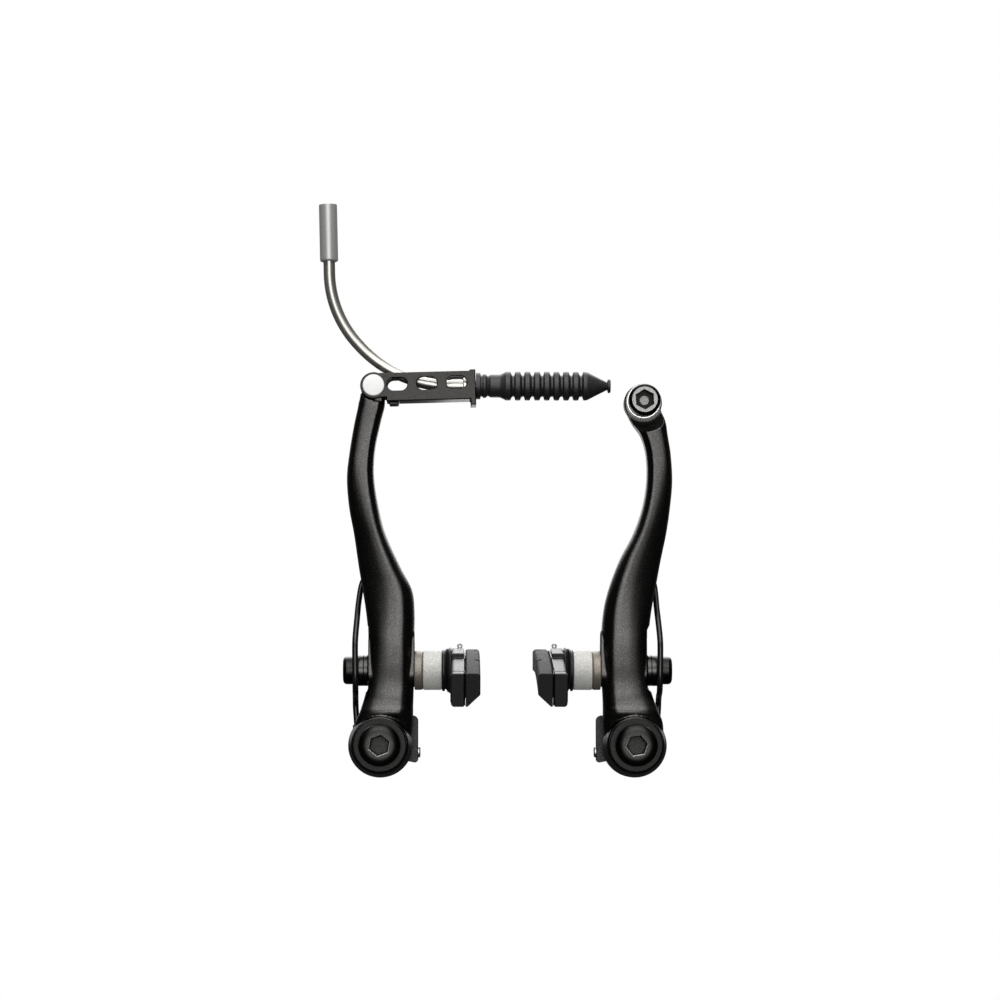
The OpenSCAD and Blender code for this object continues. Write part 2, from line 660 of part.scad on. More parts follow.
module link_rivet() color("#f0f0ee") translate([rivet_x, cable_y, rivet_height])
    rotate([90, 0, 0]) rotate_extrude() polygon(concat(
        [[0, -plate_out - 1], [rivet_d / 2 + 0.6, -plate_out - 1], [rivet_d / 2 + 0.9, -plate_out - 0.6],
            [rivet_d / 2 + 0.9, -plate_out], [rivet_d / 2, -plate_out], [rivet_d / 2, plate_out],
            [rivet_cap_d / 2, plate_out], [rivet_cap_d / 2, plate_out + 0.5],
            [rivet_cap_d / 2 - 0.3, plate_out + 0.8]],
        [[0, plate_out + 1]]));

/* Noodle: bent steel tube with a liner, a ferrule for the housing and a tip for the link */
module in_plane(p) {
    translate([p[0], cable_y, p[1]]) rotate([90, 0, 0]) children();
}
// Way along the tube: places with the tube's heading there, from beside the tip to the ferrule
function arc_way(centre, r, a0, a1, steps) = [for (i = [0 : steps])
    let (a = a0 + (a1 - a0) * i / steps) concat(centre - r * left_of(a), [a])];
function tube_way(back, ahead, steps) = concat(
    [[tip_start[0] + back, tip_start[1], 0]],
    arc_way(lower_centre, lower_bend_r, 0, climb_angle, steps),
    arc_way(upper_centre, upper_bend_r, climb_angle, ferrule_angle, steps),
    [concat(ferrule_start + ahead * heading(ferrule_angle), [ferrule_angle])]);
module pipe(way, r, bore_r, sides) {
    n = len(way) * sides;
    last = n - sides;
    points = [for (q = [r, bore_r], w = way, k = [0 : sides - 1]) let (k1 = q * cos(360 * k / sides))
        [w[0] + k1 * sin(w[2]), cable_y - q * sin(360 * k / sides), w[1] + k1 * cos(w[2])]];
    faces = [for (j = [0 : sides - 1]) let (k = (j + 1) % sides) each concat(
        [for (i = [0 : sides : last - 1]) each [
            [i + j, i + k, i + k + sides], [i + j, i + k + sides, i + j + sides],
            [n + i + k + sides, n + i + k, n + i + j], [n + i + j + sides, n + i + k + sides, n + i + j]]],
        [[k, j, n + j], [k, n + j, n + k],
            [last + j, last + k, n + last + k], [last + j, n + last + k, n + last + j]])];
    polyhedron(points, faces, convexity = 8);
}
tube_in_ferrule = ferrule_len - ferrule_bore_len - 1;
module noodle_tube() color("#c9c9c6")
    pipe(tube_way(0, tube_in_ferrule, 12), tube_d / 2, tube_bore_d / 2, 24);
module noodle_liner() color("#e8e8e4")
    pipe(tube_way(nose_len + collar_t + 1, tube_in_ferrule, 6),
        tube_bore_d / 2 - 0.04, liner_bore_d / 2, 12);
module noodle_ferrule() color("#b9b9bb") in_plane(ferrule_start)
    rotate([0, 0, 180 - ferrule_angle]) rotate([0, 90, 0]) rotate_extrude() polygon([
        [tube_d / 2, 0], [ferrule_d / 2 - 0.3, 0], [ferrule_d / 2, 0.3],
        [ferrule_d / 2, ferrule_len - 0.2], [ferrule_d / 2 - 0.1, ferrule_len],
        [ferrule_bore_d / 2, ferrule_len],
        [ferrule_bore_d / 2, ferrule_len - ferrule_bore_len],
        [tube_bore_d / 2, ferrule_len - ferrule_bore_len],
        [tube_bore_d / 2, tube_in_ferrule], [tube_d / 2, tube_in_ferrule]
    ]);
module noodle_tip() color("#d9d9d6") translate([tip_start[0], cable_y, cable_height])
    rotate([0, 90, 0]) rotate_extrude() polygon([
        [tube_bore_d / 2, 0], [collar_r - 0.3, 0], [collar_r, 0.3], [collar_r, collar_t],
        [nose_r, collar_t], [nose_r, collar_t + nose_len - 0.4],
        [nose_r - 0.4, collar_t + nose_len], [tube_bore_d / 2, collar_t + nose_len]
    ]);

/* Dust boot: moulded rubber bellows over the bare cable, pushed onto the noodle's nose */
neck = [[0, 4.05], [0.8, 4.05], [0.9, 3.2], [1.5, 3.3], [1.7, 3.65], [2.4, 3.65], [3.1, 2.95],
    [3.9, 3.5], [6.9, 3.5], [8.3, 4.2]];
rib_start = neck[len(neck) - 1][0] + 0.2;
rib_r = boot_d / 2;
groove_r = rib_r - 1.15;
rib_flat = 0.3 * rib_pitch;
function rib(x) = [[x, rib_r - 0.1], [x + 0.25, rib_r], [x + rib_flat + 0.55, rib_r],
    [x + rib_flat + 0.75, rib_r - 0.2], [x + rib_flat + 1.05, groove_r], [x + rib_pitch - 0.3, groove_r]];
nose_start = rib_start + rib_count * rib_pitch;
module dust_boot() color("#2c2c2e") translate([boot_x, cable_y, cable_height])
    rotate([0, 90, 0]) rotate_extrude() {
        bore = boot_bore_d / 2;
        outline = concat(
            neck,
            [for (i = [0 : rib_count - 1], p = rib(rib_start + i * rib_pitch)) p],
            [[nose_start, rib_r - 0.2], [nose_start + 0.3, rib_r], [nose_start + 1.2, rib_r - 0.1],
                [nose_start + 7.2, 1.25], [nose_start + 7.35, 1.25], [nose_start + 7.6, 2.05],
                [nose_start + 8.1, 2.1], [nose_start + 8.4, 1.9]],
            [[nose_start + 8.4, 0.9], [nose_start + 5.4, 0.9], [nose_start + 1, bore],
                [0, bore]]);
        polygon([for (p = outline) [p[1], p[0]]]);
    }

/* Cable anchor on the right arm */
module at_anchor() {
    translate([pivot_x + anchor_out, 0, anchor_height]) children();
}
module cable_bolt() color("#151515") at_anchor() difference() {
    translate([0, anchor_washer_y, 0]) rotate([90, 0, 0]) rotate_extrude() polygon([
        [0, -anchor_washer_t - head_t - 0.6], [anchor_bolt_d / 2 - 0.5, -anchor_washer_t - head_t - 0.6],
        [anchor_bolt_d / 2, -anchor_washer_t - head_t], [anchor_bolt_d / 2, 0],
        [anchor_head_d / 2 - 0.2, 0], [anchor_head_d / 2, 0.3],
        [anchor_head_d / 2, anchor_head_h - 1], [anchor_head_d / 2 - 0.3, anchor_head_h - 0.35],
        [anchor_head_d / 2 - 0.9, anchor_head_h], [0, anchor_head_h]
    ]);
    along_y(anchor_head_y + key_depth + 0.8, anchor_head_y - 1) hexagon(key_af);
    translate([0, anchor_head_y - 0.01, 0]) rotate([-90, 0, 0])
        cylinder(r1 = key_af / 2 + 0.9, r2 = key_af / 2 - 0.1, h = 1);
}
module cable_washer() color("#e4e4e2") at_anchor() translate([0, head_y, 0])
    rotate([90, 0, 0]) rotate_extrude() polygon([
        [anchor_bolt_d / 2 + shank_gap, 0], [anchor_washer_d / 2 - 0.3, 0], [anchor_washer_d / 2, 0.3],
        [anchor_washer_d / 2, anchor_washer_t - 0.5], [anchor_washer_d / 2 - 0.5, anchor_washer_t],
        [anchor_bolt_d / 2 + shank_gap, anchor_washer_t]
    ]);

/* Pieces that both sides have */
module left_arm_bush() color("#b08d57") left_side() arm_bush();
module right_arm_bush() color("#b08d57") right_side() arm_bush();
module left_pivot_sleeve() color("#8f9193") left_side() pivot_sleeve();
module right_pivot_sleeve() color("#8f9193") right_side() pivot_sleeve();
module left_pivot_washer() color("#2a2a2b") left_side() pivot_washer();
module right_pivot_washer() color("#2a2a2b") right_side() pivot_washer();
module left_fixing_bolt() color("#161617") left_side() fixing_bolt();
module right_fixing_bolt() color("#161617") right_side() fixing_bolt();
module left_stopper() color("#1a1a1a") left_side() stopper();
module right_stopper() color("#1a1a1a") right_side() stopper();
module left_stopper_pin() color("#a9a9a6") left_side() stopper_pin();
module right_stopper_pin() color("#a9a9a6") right_side() stopper_pin();
module left_return_spring() color("#101010") left_side() return_spring(0);
module right_return_spring() color("#101010") right_side() return_spring(right_peg[0] - left_peg[0]);
module left_spring_peg() color("#a9a9a6") left_side() spring_peg(left_peg);
module right_spring_peg() color("#a9a9a6") right_side() spring_peg(right_peg);
module left_tension_screw() color("#c4c4c0") left_side() tension_screw();
module right_tension_screw() color("#c4c4c0") right_side() tension_screw();
module left_stud() color("#202020") left_side() stud();
module right_stud() color("#202020") right_side() stud();
module left_pad_holder() color("#2b2b2b") left_side() pad_holder();
module right_pad_holder() color("#2b2b2b") right_side() pad_holder();
module left_pad() color("#232323") left_side() pad();
module right_pad() color("#232323") right_side() pad();
module left_pad_pin() color("#1c1c1c") left_side() pad_pin();
module right_pad_pin() color("#1c1c1c") right_side() pad_pin();
module left_inner_dome_washer() color("#5d5750") left_side()
    dome_washer(land_in, inner_dome_t, inner_ball_r, inner_washer_d);
module right_inner_dome_washer() color("#5d5750") right_side()
    dome_washer(land_in, inner_dome_t, inner_ball_r, inner_washer_d);
module left_inner_cup_washer() color("#c3c2be") left_side()
    cup_washer(inner_cup_in, inner_cup_t, inner_ball_r, inner_washer_d);
module right_inner_cup_washer() color("#c3c2be") right_side()
    cup_washer(inner_cup_in, inner_cup_t, inner_ball_r, inner_washer_d);
module left_outer_dome_washer() color("#1c1c1c") left_side()
    dome_washer(-land_out, -outer_dome_t, outer_ball_r, outer_washer_d);
module right_outer_dome_washer() color("#1c1c1c") right_side()
    dome_washer(-land_out, -outer_dome_t, outer_ball_r, outer_washer_d);
module left_outer_cup_washer() color("#1c1c1c") left_side()
    cup_washer(-outer_cup_out, -outer_cup_t, outer_ball_r, outer_washer_d);
module right_outer_cup_washer() color("#1c1c1c") right_side()
    cup_washer(-outer_cup_out, -outer_cup_t, outer_ball_r, outer_washer_d);
module left_stud_nut() color("#141414") left_side() stud_nut();
module right_stud_nut() color("#141414") right_side() stud_nut();

left_arm();
right_arm();
left_arm_bush();
right_arm_bush();
left_pivot_sleeve();
right_pivot_sleeve();
left_pivot_washer();
right_pivot_washer();
left_fixing_bolt();
right_fixing_bolt();
left_stopper();
right_stopper();
left_stopper_pin();
right_stopper_pin();
left_return_spring();
right_return_spring();
left_spring_peg();
right_spring_peg();
left_tension_screw();
right_tension_screw();
left_stud();
right_stud();
left_pad_holder();
right_pad_holder();
left_pad();
right_pad();
left_pad_pin();
right_pad_pin();
left_inner_dome_washer();
right_inner_dome_washer();
left_inner_cup_washer();
right_inner_cup_washer();
left_outer_dome_washer();
right_outer_dome_washer();
left_outer_cup_washer();
right_outer_cup_washer();
left_stud_nut();
right_stud_nut();
link_cage();
link_rivet();
noodle_tube();
noodle_liner();
noodle_ferrule();
noodle_tip();
dust_boot();
cable_bolt();
cable_washer();
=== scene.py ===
import math

import bmesh
import bpy
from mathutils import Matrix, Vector


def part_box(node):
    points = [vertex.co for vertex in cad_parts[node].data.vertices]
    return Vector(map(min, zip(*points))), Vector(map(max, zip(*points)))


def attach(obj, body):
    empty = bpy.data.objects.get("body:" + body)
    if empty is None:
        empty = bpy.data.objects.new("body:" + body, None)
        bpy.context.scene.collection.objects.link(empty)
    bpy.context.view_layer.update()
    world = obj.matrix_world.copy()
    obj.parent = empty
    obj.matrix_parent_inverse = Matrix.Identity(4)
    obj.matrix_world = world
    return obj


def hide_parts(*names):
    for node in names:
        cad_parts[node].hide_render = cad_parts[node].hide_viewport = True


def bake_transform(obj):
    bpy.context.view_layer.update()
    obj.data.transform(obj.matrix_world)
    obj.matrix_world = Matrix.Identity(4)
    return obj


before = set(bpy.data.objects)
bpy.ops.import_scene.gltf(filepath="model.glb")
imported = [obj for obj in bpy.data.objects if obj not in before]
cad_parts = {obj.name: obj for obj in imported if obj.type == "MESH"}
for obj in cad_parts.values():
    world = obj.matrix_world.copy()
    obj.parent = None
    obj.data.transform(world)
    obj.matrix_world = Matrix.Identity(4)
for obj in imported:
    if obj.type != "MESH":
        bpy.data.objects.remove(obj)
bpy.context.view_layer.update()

# ---- Pivots: sleeve, washer and fixing bolt -------------------------------------------------
# The steel sleeve slides over the post of the frame's boss and the arm turns on it. A turned
# washer and a domed black bolt with a 5 mm hexagon socket hold it there.

# Sizes here and below are in mm: x to the right, y into the frame, z up.
MM = 0.001
SIDES = (("left", -1), ("right", 1))
PIVOT = 38.4            # from the middle to each pivot's axis
WASHER_SEAT = -17.6     # the sleeve's front end
BOLT_TOP = -23.7
SOCKET_FLATS, SOCKET_DEPTH = 5, 2.8


def linear(code):
    """A written sRGB colour as linear numbers."""
    def one(v):
        return v / 12.92 if v <= 0.04045 else ((v + 0.055) / 1.055) ** 2.4
    return tuple(one(int(code[i:i + 2], 16) / 255) for i in (1, 3, 5)) + (1.0,)


def node(tree, kind, inputs=None, **settings):
    """Adds a shader node with its settings and its input values or links."""
    made = tree.nodes.new("ShaderNode" + kind)
    for key, value in settings.items():
        setattr(made, key, value)
    for key, value in (inputs or {}).items():
        if isinstance(value, bpy.types.NodeSocket):
            tree.links.new(value, made.inputs[key])
        else:
            made.inputs[key].default_value = value
    return made


def noise(tree, size_mm):
    """Noise whose blotches are about size_mm wide, in the object's own frame."""
    where = node(tree, "TexCoord").outputs["Object"]
    return node(tree, "TexNoise", {"Vector": where, "Scale": 1 / (size_mm * MM)}).outputs["Fac"]


def spread(tree, fac, low, high, start=0.3, end=0.7):
    """fac between start and end, spread from low to high."""
    return node(tree, "MapRange", {"Value": fac, "From Min": start, "From Max": end,
                                   "To Min": low, "To Max": high}).outputs[0]


def mixed(tree, fac, one, two):
    """Colour one where fac is 0 and colour two where it is 1."""
    made = node(tree, "Mix", data_type="RGBA")
    for key, value in ((0, fac), (6, one), (7, two)):
        if isinstance(value, bpy.types.NodeSocket):
            tree.links.new(value, made.inputs[key])
        else:
            made.inputs[key].default_value = value
    return made.outputs[2]


def finish(name, colour, other, metallic, rough, rough_to, grain_mm, bump_mm=0.0, **sockets):
    """A surface that wanders between two colours and two roughnesses with one grain."""
    material = bpy.data.materials.new(name)
    material.use_nodes = True
    tree = material.node_tree
    shader = tree.nodes["Principled BSDF"]
    shader.inputs["Metallic"].default_value = metallic
    for key, value in sockets.items():
        shader.inputs[key.replace("_", " ")].default_value = value
    fac = noise(tree, grain_mm)
    tree.links.new(mixed(tree, spread(tree, fac, 0, 1), linear(colour), linear(other)),
                   shader.inputs["Base Color"])
    tree.links.new(spread(tree, fac, rough, rough_to), shader.inputs["Roughness"])
    if bump_mm:
        bump = node(tree, "Bump", {"Height": fac, "Strength": 1.0, "Distance": bump_mm * MM})
        tree.links.new(bump.outputs[0], shader.inputs["Normal"])
    return material


def built(name, points, faces, sharp=35):
    """A mesh object from points in mm."""
    name = name.replace(" ", "_")
    mesh = bpy.data.meshes.new(name)
    mesh.from_pydata([Vector(p) * MM for p in points], [], faces)
    bm = bmesh.new()
    bm.from_mesh(mesh)
    bmesh.ops.remove_doubles(bm, verts=bm.verts, dist=1e-8)
    bmesh.ops.recalc_face_normals(bm, faces=bm.faces)
    bm.to_mesh(mesh)
    bm.free()
    mesh.shade_smooth()
    mesh.set_sharp_from_angle(angle=math.radians(sharp))
    obj = bpy.data.objects.new(name, mesh)
    bpy.context.scene.collection.objects.link(obj)
    return obj


def rounded(profile, closed):
    """Points (radius, along, rounding) with each corner cut by a small curve."""
    out = []
    n = len(profile)
    for i, (r, a, q) in enumerate(profile):
        if not q or (not closed and i in (0, n - 1)):
            out.append((r, a))
            continue
        p = Vector((r, a))
        before, after = (Vector(profile[(i + d) % n][:2]) for d in (-1, 1))
        u, v = before - p, after - p
        q = min(q, 0.45 * u.length, 0.45 * v.length)
        start, end = p + q * u.normalized(), p + q * v.normalized()
        for k in range(6):
            t = k / 5
            out.append(tuple((1 - t) ** 2 * start + 2 * t * (1 - t) * p + t * t * end))
    return out


def turned(name, profile, at, axis, segments=96):
    """Turns a profile about the axis through at. A profile off the axis makes a ring."""
    closed = all(r > 0 for r, a, q in profile)
    outline = rounded(profile, closed)
    axis = Vector(axis).normalized()
    one = axis.orthogonal().normalized()
    two = axis.cross(one)
    points = []
    for r, a in outline:
        for k in range(segments):
            w = 2 * math.pi * k / segments
            points.append(Vector(at) + a * axis + r * (math.cos(w) * one + math.sin(w) * two))
    faces = []
    rows = len(outline)
    for i in range(rows if closed else rows - 1):
        for k in range(segments):
            a, b = i * segments + k, i * segments + (k + 1) % segments
            c, d = (a + segments) % len(points), (b + segments) % len(points)
            faces.append((a, b, d, c))
    return built(name, points, faces)


def place(obj, material, body, slot, *nodes):
    """Gives a piece its material, its body and the CAD nodes that it stands for."""
    obj.data.materials.clear()
    obj.data.materials.append(material)
    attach(obj, body)
    if nodes:
        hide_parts(*nodes)
    return obj


def keep(cad, material):
    """Shows a CAD node as it is, in a material."""
    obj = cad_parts[cad]
    obj.data.materials.clear()
    obj.data.materials.append(material)
    return obj


def joined(obj, parts, operation):
    """Adds or cuts each part with a boolean, one after the other."""
    for part in parts:
        step = obj.modifiers.new(operation, "BOOLEAN")
        step.operation, step.solver, step.object = operation, "MANIFOLD", part
        settled(obj)
        bpy.data.objects.remove(part)


def settled(obj):
    """Turns an object's modifiers into its mesh."""
    graph = bpy.context.evaluated_depsgraph_get()
    mesh = bpy.data.meshes.new_from_object(obj.evaluated_get(graph))
    obj.modifiers.clear()
    obj.data = mesh


def socket_bolt(name, profile, face, x, z, levels, turn):
    """A turned bolt facing the front with a hexagon socket: levels are (flats, depth)."""
    bolt = turned(name, profile, (x, face, z), (0, -1, 0))
    points, faces = [], []
    for flats, depth in levels:
        for k in range(6):
            w = math.radians(turn + 60 * k)
            r = flats / 2 / math.cos(math.radians(30))
            points.append((x + r * math.cos(w), face + depth, z + r * math.sin(w)))
    for i in range(len(levels) - 1):
        faces += [(6 * i + k, 6 * i + (k + 1) % 6, 6 * i + 6 + (k + 1) % 6, 6 * i + 6 + k)
                  for k in range(6)]
    faces += [tuple(range(6)), tuple(range(len(points) - 6, len(points)))]
    joined(bolt, [built(name + " socket", points, faces)], "DIFFERENCE")
    bolt.data.shade_smooth()
    bolt.data.set_sharp_from_angle(angle=math.radians(20))
    return bolt


def paint(obj, material, chosen):
    """Gives a second material to the faces whose centre, in mm, is chosen."""
    obj.data.materials.append(material)
    for face in obj.data.polygons:
        if chosen(*(v / MM for v in face.center)):
            face.material_index = len(obj.data.materials) - 1


# Turned steel keeps faint cutting marks and a grey shine. Sintered bronze is warm and duller.
steel = finish("Turned steel", "#a8a8a5", "#8d8d8a", 1.0, 0.28, 0.4, 0.5)
bronze = finish("Sintered bronze", "#a07a48", "#8a6538", 1.0, 0.42, 0.55, 0.2)
# Blackened steel keeps some of the metal's shine: satin on the washer, tighter on the bolt.
washer_black = finish("Black washer", "#20201f", "#1a1a1a", 1.0, 0.3, 0.38, 0.3, 0.003)
bolt_black = finish("Black bolt", "#2c2c2b", "#252524", 1.0, 0.26, 0.32, 0.4, 0.002)
# Bright bare steel rings the socket's rim: partly wear where the key rubs it, partly a painted
# highlight for the light that the rim's edge catches. The socket's floor is left rough.
bright_steel = finish("Bright steel", "#b9b9b5", "#83837f", 0.7, 0.4, 0.55, 0.5)
socket_floor = finish("Socket floor", "#363635", "#282827", 0.8, 0.45, 0.6, 0.4, 0.01)

washer_profile = [(3.05, 0, 0), (8.15, 0, 0.3), (8.15, 1.7, 0.5), (3.05, 1.7, 0)]
crown = [(3.6 + 2.75 * math.sin(math.radians(w)), 1.9 * math.cos(math.radians(w)) - 1.9, 0)
         for w in range(0, 91, 6)]
bolt_profile = [(0, 0, 0)] + crown + [
    (6.35, -4.2, 0), (6.15, -4.4, 0), (2.6, -4.4, 0), (2.6, -6.5, 0), (3, -6.8, 0),
    (3, -23.9, 0), (2.5, -24.4, 0), (0, -24.4, 0)]
socket = ((6.15, -0.5), (6.15, 0), (5.6, 0.25), (SOCKET_FLATS, 0.6), (SOCKET_FLATS, SOCKET_DEPTH))
floor_at = BOLT_TOP + SOCKET_DEPTH
for (side, s), turn in zip(SIDES, (20, 9)):
    x = s * PIVOT
    keep(side + "_pivot_sleeve", steel)
    keep(side + "_arm_bush", bronze)
    place(turned(side + " pivot washer", washer_profile, (x, WASHER_SEAT, 0), (0, -1, 0)),
          washer_black, "frame_side", "black_steel", side + "_pivot_washer")
    bolt = socket_bolt(side + " fixing bolt", bolt_profile, BOLT_TOP, x, 0, socket, turn)
    place(bolt, bolt_black, "frame_side", "black_steel", side + "_fixing_bolt")
    # The thin bright ring at the socket's rim is wear and a painted highlight.
    paint(bolt, bright_steel, lambda a, y, c: BOLT_TOP + 0.01 < y < BOLT_TOP + 0.2
          and math.hypot(a - x, c) < 3.5)
    paint(bolt, socket_floor, lambda a, y, c: abs(y - floor_at) < 0.05
          and math.hypot(a - x, c) < 3)

# ---- Stoppers -------------------------------------------------------------------------------
# A block of rough moulded plastic behind each arm is pinned into the frame's spring hole. It
# holds the spring's foot, and a cross-slotted screw in its inner end sets the spring.

LUG_FROM, LUG_TO, LUG_TOP = 4.5, 12, 6.2    # cut off to leave room for the spring's foot


def block(name, low, high):
    """A plain box between two corners."""
    points = [(x, y, z) for x in (low[0], high[0]) for y in (low[1], high[1])
              for z in (low[2], high[2])]
    return built(name, points, [(0, 1, 3, 2), (4, 6, 7, 5), (0, 4, 5, 1), (2, 3, 7, 6),
                                (0, 2, 6, 4), (1, 5, 7, 3)])


def softened(cad, width):
    """A copy of a CAD node's mesh with its edges rounded by width mm."""
    edge = math.radians(30)
    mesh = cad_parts[cad].data.copy()
    bm = bmesh.new()
    bm.from_mesh(mesh)
    bmesh.ops.remove_doubles(bm, verts=bm.verts, dist=2e-6)
    bmesh.ops.dissolve_limit(bm, angle_limit=math.radians(0.6), verts=bm.verts, edges=bm.edges)
    bm.to_mesh(mesh)
    bm.free()
    mesh.materials.clear()
    mesh.shade_smooth()
    mesh.set_sharp_from_angle(angle=edge)
    obj = bpy.data.objects.new(cad + "_look", mesh)
    bpy.context.scene.collection.objects.link(obj)
    bevel = obj.modifiers.new("Edges", "BEVEL")
    bevel.width = width * MM
    bevel.segments = 3
    bevel.limit_method = "ANGLE"
    bevel.angle_limit = edge
    bevel.use_clamp_overlap = False
    bevel.harden_normals = True
    return obj


# Moulded nylon with a coarse grain that catches no clear light. The screw is plated and bright.
stopper_black = finish("Stopper plastic", "#111111", "#1b1b1b", 0.0, 0.45, 0.6, 0.8, 0.14)
screw_steel = finish("Screw steel", "#c9c8c4", "#a5a4a0", 1.0, 0.3, 0.45, 0.3)
for side, s in SIDES:
    stopper = softened(side + "_stopper", 0.25)
    x0, x1 = sorted((s * (PIVOT + LUG_FROM), s * (PIVOT + LUG_TO)))
    settled(stopper)
    joined(stopper, [block("spring side", (x0, -6, LUG_TOP), (x1, 1, 20))], "DIFFERENCE")
    place(stopper, stopper_black, "frame_side", "stopper_plastic", side + "_stopper")
    keep(side + "_stopper_pin", steel)
    place(softened(side + "_tension_screw", 0.06), screw_steel, "frame_side", "bare_steel",
          side + "_tension_screw")

# ---- Arms -----------------------------------------------------------------------------------
# Each arm is forged from aluminium and anodised satin black: a crowned foot with a milled slot
# turns into a flat face between two bevels. The left one ends in an eye, the right in a head.

# Each station: height, outer and inner edge from the pivot, front and back. A crown is the
# forging's front half at the foot, the middle and the top, as shares of half width and depth.
LEFT_STATIONS = (
    (-3, 8.6, -8.6, 15.2, 5.2), (6, 7.7, -9.7, 15.2, 5.2), (9.9, 6.25, -9.9, 16.5, 5.2),
    (12, 5.55, -9.9, 15.9, 5.2), (15, 4.65, -10, 15.4, 5.2), (19, 4, -10.1, 15.6, 5.2),
    (25, 3.65, -10.2, 16.5, 5.2), (32, 3.6, -10.2, 17.2, 5.2),
    (40, 4.4, -10.3, 17.2, 5.3), (47, 5.5, -9.5, 17.2, 5.7), (54, 6.7, -5.9, 17.1, 6.2),
    (64, 8.2, -1.4, 16.8, 6.6), (72, 9.7, 0.7, 16.4, 6.8), (81, 10.4, 2.1, 16.1, 7.0),
    (89, 9.6, 1.9, 15.9, 7.2), (97, 8.3, 0.4, 15.7, 7.4), (102.2, 7.2, -0.9, 15.4, 7.6),
    (104, 6.9, -1.1, 15.4, 7.7), (104.6, 6.7, -1.1, 15.4, 8.7), (106.8, 6.3, -0.9, 15.4, 8.7))
RIGHT_STATIONS = (
    (-3, 8.6, -8.6, 15.2, 5.2), (6, 8.6, -9.6, 15.2, 5.2), (9.9, 7.3, -9.6, 16.5, 5.2),
    (12, 6.5, -9.6, 15.9, 5.2), (15, 5.4, -9.7, 15.4, 5.2), (19, 4.6, -9.9, 15.6, 5.2),
    (25, 4.2, -10.1, 16.5, 5.2), (32, 4.2, -10.1, 17.2, 5.2),
    (40, 5.1, -9.5, 17.2, 5.3), (47, 6.4, -7.9, 17.2, 5.7), (56, 8.1, -4.5, 17.1, 6.2),
    (64, 9.8, -0.3, 16.8, 6.4), (72, 11.0, 2.5, 16.4, 6.4), (80, 11.7, 3.8, 16.0, 6.2),
    (88, 11.3, 3.7, 15.6, 5.8), (94, 10.4, 2.1, 15.2, 5.2), (98, 9.8, -0.6, 15.0, 4.8),
    (102, 8.4, -2.4, 14.9, 4.6), (104, 8.0, -2.2, 14.8, 4.6))
FOOT = ((1, 0), (0.96, 0.42), (0.84, 0.68), (0.6, 0.87), (0.25, 0.97),
        (-0.12, 1), (-0.38, 1), (-0.6, 0.93), (-0.86, 0.62), (-1, 0))
MID = ((1, 0), (0.94, 0.3), (0.84, 0.5), (0.48, 0.74), (0.08, 0.91),
       (-0.28, 0.99), (-0.5, 1), (-0.68, 0.92), (-0.86, 0.6), (-1, 0))
TOP = ((1, 0), (0.93, 0.44), (0.66, 0.86), (0.46, 0.95), (0.15, 0.985),
       (-0.2, 1), (-0.5, 1), (-0.63, 0.94), (-0.92, 0.5), (-1, 0))
BACK = ((0.3, -1), (0.84, -1), (0.95, -0.8))
CROWN_TURNS = ((33, 50), (64, 86))  # heights from foot to middle, and from middle to top
PARTING = 11.4                  # depth of the parting line, where the forging is widest
BACK_FACE = -5.2                # the arm's back, at the boss
STUD_Y, STUD_Z = -10.9, 22.6
SLOT_LOW, SLOT_HIGH = STUD_Z - 1, STUD_Z + 8
LAND_IN, LAND_OUT = 10.3, 3.72  # milled seats of the ball washers, from the pivot
LINK_X, LINK_Z = -40.7, 108.8   # the link's rivet
LINK_FACE = -14.3               # where the link's front plate turns
ANCHOR_X, ANCHOR_Z = 41.4, 104.2
ANCHOR_SEAT = -10.75
PEG_Z = 56.6


def between(points, steps, closed=False):
    """Catmull-Rom curve through points, with steps pieces from one to the next."""
    n = len(points)
    out = []
    for i in range(n if closed else n - 1):
        pick = (lambda k: points[k % n]) if closed else (lambda k: points[min(max(k, 0), n - 1)])
        a, b, c, d = (Vector(pick(i + k)) for k in (-1, 0, 1, 2))
        for k in range(steps):
            t = k / steps
            out.append(0.5 * (2 * b + (c - a) * t + (2 * a - 5 * b + 4 * c - d) * t * t
                              + (3 * b - a - 3 * c + d) * t ** 3))
    if not closed:
        out.append(Vector(points[-1]))
    return out


def section(height, outer, inner, front, back):
    """The forging's outline at one height, in mm from the pivot, closed and smooth."""
    mid, top = (min(1, max(0, (height - z0) / (z1 - z0))) for z0, z1 in CROWN_TURNS)
    part = min(max(PARTING, back + 2), front - 2)
    crown = [tuple((1 - mid) * f + mid * ((1 - top) * m + top * t) for f, m, t in zip(*three))
             for three in zip(FOOT, MID, TOP)]
    ring = crown + [(-a, b) for a, b in reversed(BACK)] + list(BACK)
    middle, half = (outer + inner) / 2, (outer - inner) / 2
    at = [(middle + half * a, -part - b * ((front - part) if b > 0 else (part - back)))
          for a, b in ring]
    return [(min(max(p[0], inner), outer), p[1]) for p in between(at, 5, closed=True)]


def forging(name, stations, s):
    """Loft through the stations, standing on its own pivot; s is -1 on the left."""
    rows = between([Vector(st) for st in stations], 6)
    rings = [[(s * (PIVOT + p[0]), p[1], row[0]) for p in section(*row)] for row in rows]
    n = len(rings[0])
    points = [p for ring in rings for p in ring]
    faces = [(i * n + j, i * n + (j + 1) % n, (i + 1) * n + (j + 1) % n, (i + 1) * n + j)
             for i in range(len(rings) - 1) for j in range(n)]
    faces += [tuple(range(n)), tuple(range(len(points) - n, len(points)))]
    return built(name, points, faces)


def slot_bar(name, radius, x0, x1, low, high):
    """A bar across the arm with round ends above and below."""
    outline = [(STUD_Y + radius * math.cos(math.radians(w)),
                (low if w >= 180 else high) + radius * math.sin(math.radians(w)))
               for w in list(range(0, 181, 6)) + list(range(180, 361, 6))]
    n = len(outline)
    points = [(x, y, z) for x in (x0, x1) for y, z in outline]
    faces = [(j, (j + 1) % n, n + (j + 1) % n, n + j) for j in range(n)]
    return built(name, points, faces + [tuple(range(n)), tuple(range(n, 2 * n))])


